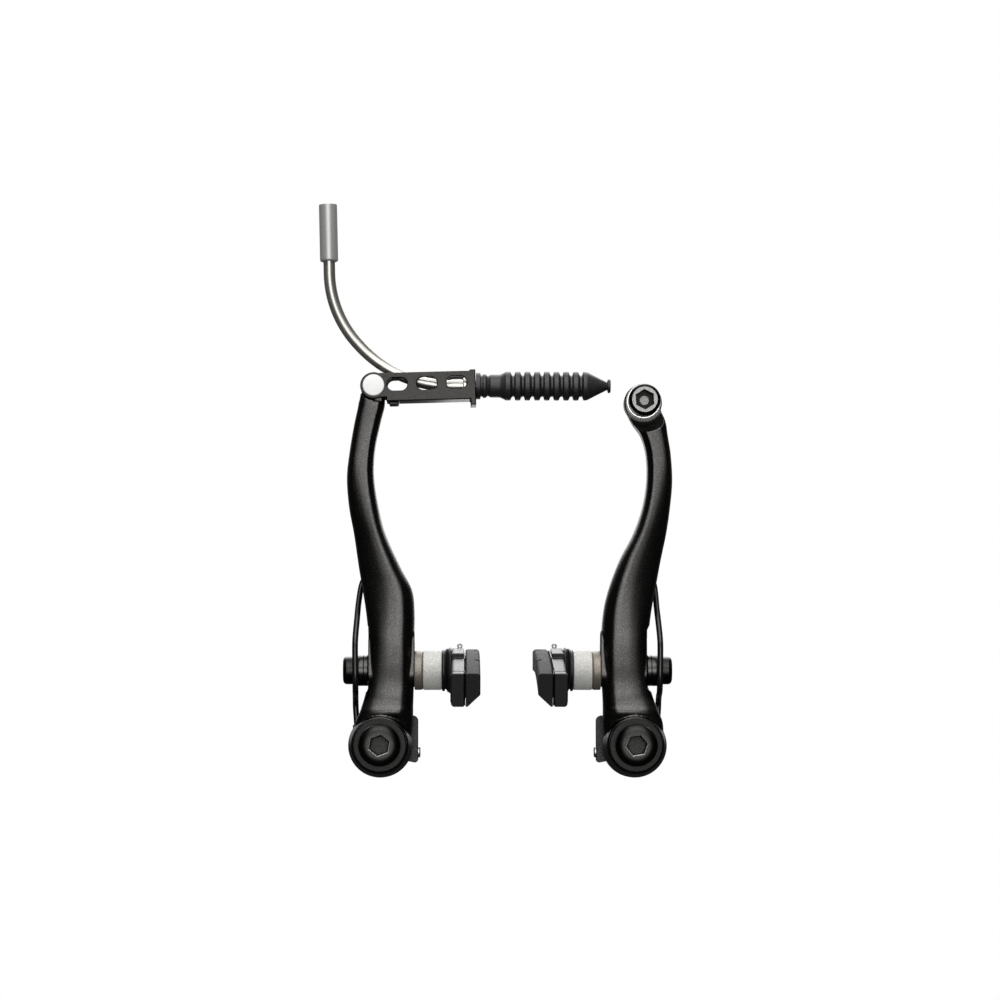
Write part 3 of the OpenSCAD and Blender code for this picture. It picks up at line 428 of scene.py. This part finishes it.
def bored(name, x, z, start, radius):
    """A round cutter from a depth out through the front."""
    length = 22 + start
    return turned(name, [(0, 0, 0), (radius, 0, 0), (radius, length, 0), (0, length, 0)],
                  (x, start, z), (0, -1, 0))


def anodised(name):
    """Blasted and anodised: satin black with fine grains that glint, drawn coarse to show."""
    material = finish(name, "#454443", "#3b3a39", 1.0, 0.25, 0.32, 0.32, 0.012)
    tree = material.node_tree
    shader = tree.nodes["Principled BSDF"]
    cells = node(tree, "TexVoronoi", {"Vector": node(tree, "TexCoord").outputs["Object"],
                                      "Scale": 1 / (0.16 * MM)}, feature="F1")
    grains = spread(tree, cells.outputs["Color"], 0, 1, 0.7, 1.0)
    old = shader.inputs["Base Color"].links[0].from_socket
    tree.links.new(mixed(tree, grains, old, linear("#646360")), shader.inputs["Base Color"])
    return material


arm_black = anodised("Black anodised forging")
for side, s, stations in (("left", -1, LEFT_STATIONS), ("right", 1, RIGHT_STATIONS)):
    x = s * PIVOT
    arm = forging(side + " arm", stations, s)
    added = [
        turned("boss", [(0, 0, 0), (9.7, 0, 0.5), (9.7, 6.2, 0), (8.5, 12, 0.9), (0, 12, 0)],
               (x, BACK_FACE, 0), (0, -1, 0)),
        slot_bar("land", 3.9, x - s * LAND_IN, x - s * 6.3, SLOT_LOW, SLOT_HIGH),
        slot_bar("land", 3.9, x + s * 0.8, x + s * LAND_OUT, SLOT_LOW, SLOT_HIGH)]
    cut = [
        bored("bore", x, 0, 1, 6.75),
        slot_bar("slot", 3.6, x - s * 12, x + s * 8, SLOT_LOW, SLOT_HIGH),
        slot_bar("inner spotface", 6.3, x - s * 15, x - s * LAND_IN, SLOT_LOW, SLOT_HIGH),
        slot_bar("outer spotface", 5.6, x + s * LAND_OUT, x + s * 9, SLOT_LOW, SLOT_HIGH)]
    if side == "left":
        added.append(turned("eye", [(0, 0, 0), (3.6, 0, 0.3), (3.6, 5.8, 0.3), (0, 5.8, 0)],
                            (LINK_X, -8.6, LINK_Z), (0, -1, 0)))
        cut += [bored("hole", LINK_X, LINK_Z, 0, 2.25),
                bored("link seat", LINK_X, LINK_Z, LINK_FACE, 4.4),
                block("link path", (LINK_X, -20, 103.9), (LINK_X + 10.7, LINK_FACE, 115))]
        peg_x = x - 4.9
    else:
        added.append(turned("head", [(0, 0, 0), (5.8, 0, 0.8), (5.8, 6.2, 0.5), (0, 6.2, 0)],
                            (ANCHOR_X, -4.55, ANCHOR_Z), (0, -1, 0)))
        scoop = [(0, 0, 0), (6.5, 0, 0.8), (9.2, 3.2, 0), (9.5, 9, 0), (0, 9, 0)]
        cut += [bored("hole", ANCHOR_X, ANCHOR_Z, 0, 2.5),
                turned("scoop", scoop, (ANCHOR_X, ANCHOR_SEAT, ANCHOR_Z), (0, -1, 0))]
        peg_x = x + 6.1
    cut.append(turned("peg hole", [(0, 0, 0), (1.4, 0, 0), (1.4, 8, 0), (0, 8, 0)],
                      (peg_x, -2, PEG_Z), (0, -1, 0)))
    joined(arm, added, "UNION")
    joined(arm, cut, "DIFFERENCE")
    remesh = arm.modifiers.new("Skin", "REMESH")
    remesh.mode, remesh.voxel_size, remesh.use_smooth_shade = "VOXEL", 0.22 * MM, True
    smooth = arm.modifiers.new("Forged edges", "SMOOTH")
    smooth.factor, smooth.iterations = 0.5, 5
    fewer = arm.modifiers.new("Fewer faces", "DECIMATE")
    fewer.ratio = 0.5
    settled(arm)
    place(arm, arm_black, side + "_arm", "anodised_forging", side + "_arm")
    keep(side + "_spring_peg", steel)

# ---- Return springs -------------------------------------------------------------------------
# One bent wire a side, black: up from the stopper, forward and past the nut's front, then in
# behind the arm to press on its peg. Its foot stays with the frame and its end with the arm;
# here the wire stands fixed and goes with neither.

# Outward from the pivot, depth and height of the left wire's middle; the right arm's peg lies
# 1.2 mm further out, and the wire leans that way above 42 mm.
ROUTE = ((7.3, -2.6, 3), (7.35, -2.6, 6.2), (7.7, -2.6, 11), (7.75, -3.5, 13.6), (7.65, -7, 15),
         (7.5, -11.5, 15.6), (7.4, -15.2, 17), (7.4, -16.7, 21), (7.5, -16.6, 26),
         (7.5, -16.2, 31.5), (7.1, -12.8, 38), (6.7, -7.6, 44), (5.8, -4.2, 49.4),
         (3.4, -3.9, 53.6), (2.05, -3.9, 56.6), (1.85, -3.9, 59.4))


def swept(name, way, radius, sides=32, bore=0.0):
    """A round rod, or a tube with a bore, along a way given in mm."""
    way = [Vector(p) for p in way]
    n = len(way)
    points, faces = [], []
    across = Vector((0, 1, 0.01)).normalized()
    for i, p in enumerate(way):
        ahead = (way[min(i + 1, n - 1)] - way[max(i - 1, 0)]).normalized()
        across = (across - across.dot(ahead) * ahead).normalized()
        up = ahead.cross(across)
        for r in ((radius, bore) if bore else (radius,)):
            for k in range(sides):
                w = 2 * math.pi * k / sides
                points.append(p + r * (math.cos(w) * across + math.sin(w) * up))
    walls = 2 if bore else 1
    for i in range(n - 1):
        for wall in range(walls):
            for k in range(sides):
                a = (i * walls + wall) * sides + k
                b = (i * walls + wall) * sides + (k + 1) % sides
                faces.append((a, b, b + walls * sides, a + walls * sides))
    for i in (0, n - 1):
        first = i * walls * sides
        if bore:
            faces += [(first + k, first + (k + 1) % sides, first + sides + (k + 1) % sides,
                       first + sides + k) for k in range(sides)]
        else:
            faces.append(tuple(range(first, first + sides)))
    return built(name, points, faces, 50)


# Spring wire with a smooth black coat: dark, with one thin clear highlight along it.
spring_black = finish("Black spring wire", "#090909", "#0c0c0c", 0.0, 0.2, 0.22, 2.0)
for side, s, shift in (("left", -1, 0), ("right", 1, 1.2)):
    way = [(s * (PIVOT + out + shift * max(0, up - 42) / 16), along, up)
           for out, along, up in between(ROUTE, 5)]
    wire = swept(side + " return spring", way, 0.9, 24)
    wire.data.materials.append(spring_black)
    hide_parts(side + "_return_spring")
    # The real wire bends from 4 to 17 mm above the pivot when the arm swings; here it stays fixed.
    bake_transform(wire)

# ---- Studs, ball washers and nuts -----------------------------------------------------------
# The shoe's threaded stud goes through domed and cupped washers on both sides of the slot, so
# that the shoe can tip. Rim side: a dark satin dome and a thick blasted cup. A black nut.

SEAT = 7.05             # from the balls' common centre to either land
BALL_OUTWARD = 3.25     # from that centre to the pivot's axis
IN_BALL, OUT_BALL = math.hypot(SEAT + 2.5, 5.9), math.hypot(SEAT + 1.1, 4.7)
BALL_GAP = 0.06
DISH_X = 19.05          # the shoe's dish, from the middle


def ball(radius, r0, r1):
    """Points on a ball face between two radii, as radius and distance from its centre."""
    radii = [r0 + (r1 - r0) * k / 8 for k in range(9)]
    return [(r, math.sqrt(radius ** 2 - r ** 2), 0) for r in radii]


# The dome is tumbled steel, dark and satin; the cup is cast and blasted, pale and grainy.
dome_satin = finish("Satin dome washer", "#817b72", "#6e6860", 0.5, 0.4, 0.5, 0.4, 0.002)
cup_blasted = finish("Blasted cup washer", "#cfceca", "#a6a5a0", 0.15, 0.6, 0.75, 0.32, 0.015)
# Blackened and polished, with a hard highlight; the stud's black is plainer.
black_gloss = finish("Black washer gloss", "#424241", "#363635", 1.0, 0.16, 0.22, 0.8)
stud_black = finish("Black stud", "#0f0f10", "#161617", 0.3, 0.3, 0.4, 0.4, 0.004)
# A cast holder with a thin black paint, half matte.
holder_black = finish("Cast holder", "#121111", "#181717", 0.0, 0.34, 0.46, 0.6, 0.01,
                      Specular_IOR_Level=0.22)
for side, s in SIDES:
    centre = (s * (PIVOT - BALL_OUTWARD), STUD_Y, STUD_Z)
    inward, outward = (-s, 0, 0), (s, 0, 0)
    place(turned(side + " inner dome washer",
                 [(3.75, SEAT, 0), (5.9, SEAT, 0.35), (5.9, SEAT + 2.25, 0.9)]
                 + list(reversed(ball(IN_BALL, 3.75, 5.2))), centre, inward),
          dome_satin, side + "_shoe_seat", "dark_washer", side + "_inner_dome_washer")
    place(turned(side + " inner cup washer", ball(IN_BALL + BALL_GAP, 3.05, 5.75)
                 + [(5.9, 9.9, 0.2), (5.9, 15.31, 0.5), (3.05, 15.31, 0)], centre, inward),
          cup_blasted, side + "_shoe_tilt", "cast_washer", side + "_inner_cup_washer")
    place(turned(side + " outer dome washer", [(3.75, SEAT, 0), (4.7, SEAT, 0.2)]
                 + list(reversed(ball(OUT_BALL, 3.75, 4.7))), centre, outward),
          black_gloss, side + "_shoe_seat", "black_steel", side + "_outer_dome_washer")
    place(turned(side + " outer cup washer", ball(OUT_BALL + BALL_GAP, 3.05, 4.6)
                 + [(4.7, 8.4, 0.15), (4.7, 10.51, 0.6), (3.05, 10.51, 0)], centre, outward),
          black_gloss, side + "_shoe_tilt", "black_steel", side + "_outer_cup_washer")
    place(softened(side + "_stud_nut", 0.15), bolt_black, side + "_shoe_tilt", "black_steel",
          side + "_stud_nut")
    place(softened(side + "_stud", 0.15), stud_black, side + "_shoe", "black_steel",
          side + "_stud")
    place(turned(side + " shoe dish", [
        (4.4, 0, 0), (5.6, 0, 0.1), (5.75, 0.5, 0.1), (6.9, 1.5, 0.25), (6.9, 2.05, 0.2),
        (4.4, 2.05, 0)], (s * DISH_X, STUD_Y, STUD_Z), inward),
        holder_black, side + "_shoe", "holder_black")
    place(turned(side + " dish rib", [
        (5, -0.25, 0), (6.5, -0.25, 0.1), (6.65, 0.1, 0.1), (6.5, 0.25, 0.1), (5, 0.25, 0)],
        (s * (DISH_X - 0.95), STUD_Y, STUD_Z), (-s, -0.13, 0.04)),
        holder_black, side + "_shoe", "holder_black")

# ---- Brake shoes ----------------------------------------------------------------------------
# A black cast holder with a groove takes the moulded pad, which slides in from the back and is
# kept by a cross pin. The pad is rough matte rubber with two grooves for water.

PIN_FOOT, PIN_LENGTH = STUD_Z - 5.4, 12.4
RING_Z, RING_R, RING_WIRE = STUD_Z + 7.7, 0.55, 0.28

# Moulded rubber with a scuffed, open face that stays matte in any light.
pad_rubber = finish("Brake pad", "#111111", "#191919", 0.0, 0.62, 0.78, 0.5, 0.09,
                    Specular_IOR_Level=0.22)
for side, s in SIDES:
    place(softened(side + "_pad_holder", 0.35), holder_black, side + "_shoe", "holder_black",
          side + "_pad_holder")
    place(softened(side + "_pad", 0.3), pad_rubber, side + "_shoe", "pad_rubber", side + "_pad")
    low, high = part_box(side + "_pad_pin")
    pin = (Vector(low) + Vector(high)) / 2 / MM
    place(turned(side + " pad pin", [
        (0, 0, 0), (0.6, 0, 0.1), (0.6, PIN_LENGTH, 0.2), (0, PIN_LENGTH, 0)],
        (pin.x, pin.y, PIN_FOOT), (0, 0, 1), 32),
        bright_steel, side + "_shoe", "black_steel", side + "_pad_pin")
    ring = [(pin.x + RING_R * math.cos(math.radians(w)), pin.y,
             RING_Z + RING_R * math.sin(math.radians(w))) for w in range(0, 361, 15)]
    place(swept(side + " pad pin ring", ring, RING_WIRE, 16), bright_steel, side + "_shoe",
          "black_steel")

# ---- Link -----------------------------------------------------------------------------------
# The link is folded from 1.2 mm sheet and blackened: two side plates with three windows, and an
# end plate with the keyhole for the noodle. A polished rivet holds it to the left arm's eye.

CABLE_Y = -11.5         # the cable's depth, which the link is built round

# Blackened sheet steel, satin from rolling. The anchor's washer is polished to a mirror, with a
# share of white paint: a painted reflection that keeps it light all round. The rivet's cap is
# plain white paint with no metal, a painted reflection standing in for its white gloss.
link_black = finish("Blackened sheet", "#333231", "#2d2c2b", 1.0, 0.3, 0.38, 0.3, 0.003)
# Part metal, part white paint: real shine plus a painted reflection.
polished = finish("Polished steel", "#f2f2f0", "#ebebe8", 0.6, 0.14, 0.16, 3.0)
# No metal at all: its white is a painted reflection.
rivet_cap = finish("White painted rivet", "#dcdcda", "#d6d6d4", 0.0, 0.3, 0.34, 3.0)
place(softened("link_cage", 0.35), link_black, "link", "link_steel", "link_cage")
place(turned("link rivet", [
    (0, -5.25, 0), (3.1, -5.25, 0.4), (3.1, -4.25, 0), (2.2, -4.25, 0), (2.2, 4.25, 0),
    (3.25, 4.25, 0), (3.25, 5.0, 0.45), (0, 5.25, 0)], (LINK_X, CABLE_Y, LINK_Z), (0, -1, 0)),
    rivet_cap, "link", "polished_steel", "link_rivet")

# ---- Noodle ---------------------------------------------------------------------------------
# A polished steel tube with two bends leads the cable down into the link. A matte aluminium
# ferrule takes the housing, a plastic liner runs inside, and a turned tip sits in the keyhole.

CABLE_Z = 109.1
TUBE_R, TUBE_BORE = 1.785, 1.3
LOW_R, HIGH_R = 38, 33.17       # the two bends
TIP_RUN, CLIMB_RUN, TOP_RUN = 3.6, 0.8, 3.71    # straight before, between and after them
CLIMB, TOP_END = 48, 88.5       # the tube's angles between and after the bends


def heading(w):
    """The tube's direction at an angle up from the left."""
    return Vector((-math.cos(math.radians(w)), 0, math.sin(math.radians(w))))


def aside(w):
    """From the tube towards the middle of its bend."""
    return Vector((math.sin(math.radians(w)), 0, math.cos(math.radians(w))))


tip = Vector((-13.5, CABLE_Y, CABLE_Z))
low_mid = tip + TIP_RUN * heading(0) + LOW_R * aside(0)
climb = low_mid - LOW_R * aside(CLIMB) + CLIMB_RUN * heading(CLIMB)
high_mid = climb + HIGH_R * aside(CLIMB)
foot = high_mid - HIGH_R * aside(TOP_END) + TOP_RUN * heading(TOP_END)
way = ([tip] + [low_mid - LOW_R * aside(CLIMB * k / 30) for k in range(31)]
       + [high_mid - HIGH_R * aside(CLIMB + (TOP_END - CLIMB) * k / 34) for k in range(35)]
       + [foot, foot + 4.5 * heading(TOP_END)])
# Polished steel gives the tube a broad light middle between dark edges. The ferrule is matte
# from its oxide, and the liner is milky plastic.
tube_steel = finish("Polished tube", "#b6b4ae", "#aeaca6", 0.9, 0.28, 0.31, 4.0)
ferrule_matte = finish("Matte ferrule", "#a9a9a7", "#9d9d9b", 0.6, 0.34, 0.42, 0.25, 0.003)
liner_white = finish("Cable liner", "#dcdcd6", "#d2d2cc", 0.0, 0.4, 0.5, 0.5)
place(swept("noodle tube", way, TUBE_R, 48, TUBE_BORE), tube_steel, "noodle", "tube_steel",
      "noodle_tube")
place(swept("noodle liner", [tip + Vector((7.8, 0, 0))] + way, 1.24, 24, 0.9), liner_white,
      "noodle", "liner_plastic", "noodle_liner")
place(turned("noodle ferrule", [
    (TUBE_R, 0, 0), (2.5, 0, 0.2), (2.78, 0.35, 0.2), (2.78, 17.5, 0.15), (2.55, 17.5, 0),
    (2.55, 5.5, 0), (TUBE_BORE, 5.5, 0), (TUBE_BORE, 4.5, 0), (TUBE_R, 4.5, 0)],
    foot, heading(TOP_END)),
    ferrule_matte, "noodle", "ferrule_aluminium", "noodle_ferrule")
place(turned("noodle tip", [
    (TUBE_BORE, 0, 0), (2.5, 0, 0.3), (2.5, 1.8, 0.15), (1.95, 1.8, 0), (1.95, 8.5, 0.4),
    (TUBE_BORE, 8.5, 0)], tip, (1, 0, 0)), tube_steel, "noodle", "tube_steel", "noodle_tip")

# ---- Dust boot ------------------------------------------------------------------------------
# Moulded charcoal rubber over the bare cable: a collar, a plain cuff, eight ribs and a pointed
# nose with a small flange. It is pushed onto the noodle's nose.

BOOT_X = -9.1           # where the profile's lengths count from
RIBS, RIB_PITCH, FIRST_RIB = 8, 2.95, 8.5
profile = [(2.0, -0.5, 0), (4.05, -0.5, 0.15), (4.05, 0.8, 0.15), (3.2, 0.95, 0.1), (3.3, 1.5, 0),
           (3.65, 1.7, 0.1), (3.65, 2.4, 0.15), (2.95, 3.1, 0.2), (3.5, 3.9, 0.2), (3.5, 6.9, 0.5),
           (4.2, 8.3, 0.2)]
for k in range(RIBS):
    a = FIRST_RIB + RIB_PITCH * k
    profile += [(4.38, a, 0.2), (4.4, a + 1.44, 0.25), (3.25, a + 1.94, 0.25),
                (3.25, a + 2.65, 0.2)]
profile += [(4.4, 32.2, 0.2), (4.3, 33.3, 0.3), (1.25, 39.3, 0.3), (1.25, 39.45, 0.1),
            (2.1, 39.7, 0.12), (2.1, 40.2, 0.12), (1.9, 40.5, 0.1), (0.9, 40.5, 0),
            (0.9, 37.5, 0), (2.0, 33.1, 0)]
# Moulded rubber from a polished mould: charcoal, with soft lights along the ribs.
boot_rubber = finish("Boot rubber", "#161617", "#1c1c1e", 0.0, 0.42, 0.5, 0.6, 0.006)
place(turned("dust boot", profile, (BOOT_X, CABLE_Y, CABLE_Z), (1, 0, 0)), boot_rubber,
      "boot", "boot_rubber", "dust_boot")

# ---- Cable anchor ---------------------------------------------------------------------------
# The cable is clamped on the right arm's head by a bright washer and a black bolt whose face
# is turned bare round the hexagon socket.

ANCHOR_TOP, ANCHOR_CENTRE = -19.75, -16.6   # fronts of the bolt and of the disc in its socket
FACE_R = 3.87
# The bolt's black swallows light. Its turned face and the centre are pale and matte.
anchor_black = finish("Anchor bolt", "#161616", "#1b1b1b", 1.0, 0.3, 0.4, 0.4)
anchor_face = finish("Turned anchor face", "#9a9a96", "#8b8b88", 0.4, 0.45, 0.52, 0.5, 0.003)
bolt = socket_bolt("cable bolt", [
    (0, 0, 0), (3.85, 0, 0), (4.5, -0.25, 0.15), (4.85, -0.95, 0.35), (4.85, -5.8, 0.15),
    (4.6, -6, 0), (2.5, -6, 0), (2.5, -15.2, 0), (2, -15.8, 0), (0, -15.8, 0)],
    ANCHOR_TOP, ANCHOR_X, ANCHOR_Z, ((5.5, -0.5), (5.5, 0), (5.4, 0.3), (5.3, 3.6)), 33)
place(bolt, anchor_black, "right_arm", "black_steel", "cable_bolt")
paint(bolt, anchor_face, lambda a, y, c: y < ANCHOR_TOP + 0.05
      and math.hypot(a - ANCHOR_X, c - ANCHOR_Z) < FACE_R)
place(turned("cable bolt centre", [(0, 0, 0), (1.5, 0, 0.2), (1.5, -0.6, 0), (0, -0.6, 0)],
             (ANCHOR_X, ANCHOR_CENTRE, ANCHOR_Z), (0, -1, 0)), anchor_face, "right_arm",
      "black_steel")
place(turned("cable washer", [(2.55, 0, 0), (5.35, 0, 0.3), (5.35, 3, 0.45), (2.55, 3, 0)],
             (ANCHOR_X, ANCHOR_SEAT, ANCHOR_Z), (0, -1, 0)), polished, "right_arm",
      "polished_steel", "cable_washer")

# ---- Light and camera -----------------------------------------------------------------------
# A white room. What shines also sees a studio: a bright panel in front, one above, dark sides
# and a pale far wall. The camera stands low in front and looks up a little.

world = bpy.data.worlds.new("Studio")
bpy.context.scene.world = world
world.use_nodes = True
tree = world.node_tree
tree.nodes.clear()


def stops(tree, value, *levels):
    """A level that follows (value, level) stops."""
    ramp = node(tree, "ValToRGB", {"Fac": value})
    points = ramp.color_ramp.elements
    for at, level in levels[1:-1]:
        points.new(at).color = (level, level, level, 1)
    for end, (at, level) in ((0, levels[0]), (-1, levels[-1])):
        points[end].position, points[end].color = at, (level, level, level, 1)
    return ramp.outputs["Color"]


way_out = node(tree, "SeparateXYZ", {"Vector": node(tree, "TexCoord").outputs["Generated"]})
width, depth, height = (spread(tree, way_out.outputs[axis], 0, 1, -1, 1) for axis in "XYZ")
front = stops(tree, depth, (0.0, 4.6), (0.01, 3.4), (0.03, 0.9), (0.07, 0.06),
              (0.3, 0.03), (1.0, 0.03))
above = stops(tree, height, (0.0, 0.0), (0.59, 0.02), (0.65, 1.2), (0.72, 3.6), (0.82, 4.6),
              (0.93, 3.6), (1.0, 1.5))
panel = stops(tree, width, (0.0, 0.02), (0.25, 0.03), (0.38, 1.0), (0.62, 1.0), (0.75, 0.03),
              (1.0, 0.02))
wall = stops(tree, depth, (0.0, 0.0), (0.86, 0.0), (0.97, 0.6), (1.0, 1.0))
horizon = stops(tree, height, (0.0, 0.05), (0.5, 0.05), (0.56, 1.0), (1.0, 1.0))


def combined(operation, one, two):
    """Two levels multiplied, or the stronger of two."""
    return node(tree, "Math", {0: one, 1: two}, operation=operation).outputs[0]


shine = combined("MAXIMUM", front, combined("MULTIPLY", above, panel))
shine = combined("MAXIMUM", shine, combined("MULTIPLY", wall, horizon))
# The camera sees plain white, matte surfaces an even grey, and what shines the studio.
path = node(tree, "LightPath")
seen = combined("MAXIMUM", path.outputs["Is Camera Ray"], path.outputs["Is Transmission Ray"])
glossy = node(tree, "Mix", {0: path.outputs["Is Glossy Ray"], 2: 0.45, 3: shine},
              data_type="FLOAT")
level = node(tree, "Mix", {0: seen, 2: glossy.outputs[0], 3: 1.0}, data_type="FLOAT")
sky = node(tree, "Background", {"Color": (1, 1, 1, 1), "Strength": level.outputs[0]})
node(tree, "OutputWorld", {"Surface": sky.outputs[0]})


def lamp(name, at, to, wide, high, watts):
    """A soft rectangular light that looks from one place to another, in metres."""
    data = bpy.data.lights.new(name, "AREA")
    data.shape, data.size, data.size_y, data.energy = "RECTANGLE", wide, high, watts
    obj = bpy.data.objects.new(name, data)
    bpy.context.scene.collection.objects.link(obj)
    obj.location = at
    obj.rotation_euler = (Vector(to) - Vector(at)).to_track_quat("-Z", "Y").to_euler()
    return obj


middle = (0, -0.01, 0.06)
lamp("Top", (0, -0.35, 0.75), middle, 0.7, 0.5, 5).visible_glossy = False
lamp("Front", (0.1, -0.9, 0.35), middle, 0.35, 0.35, 2.4).visible_glossy = False
for at in ((-0.7, -0.3, 0.2), (0.7, -0.3, 0.2)):
    lamp("Side", at, middle, 0.3, 0.6, 1.5).visible_glossy = False

# A faint light behind the brake draws the thin pale edge along the arms' inner flanks.
between_arms = lamp("Between", (0, 0.1, 0.06), (0, 0, 0.06), 0.04, 0.08, 0.014)
between_arms.visible_camera = False

camera = bpy.data.objects.new("Camera", bpy.data.cameras.new("Camera"))
bpy.context.scene.collection.objects.link(camera)
camera.data.lens = 106.98
camera.data.sensor_width = 36
camera.location = (-0.0139, -0.911, 0.0)
camera.rotation_euler = (math.radians(94.72), 0, math.radians(-0.74))
bpy.context.scene.camera = camera

bpy.context.scene.view_settings.view_transform = "Standard"
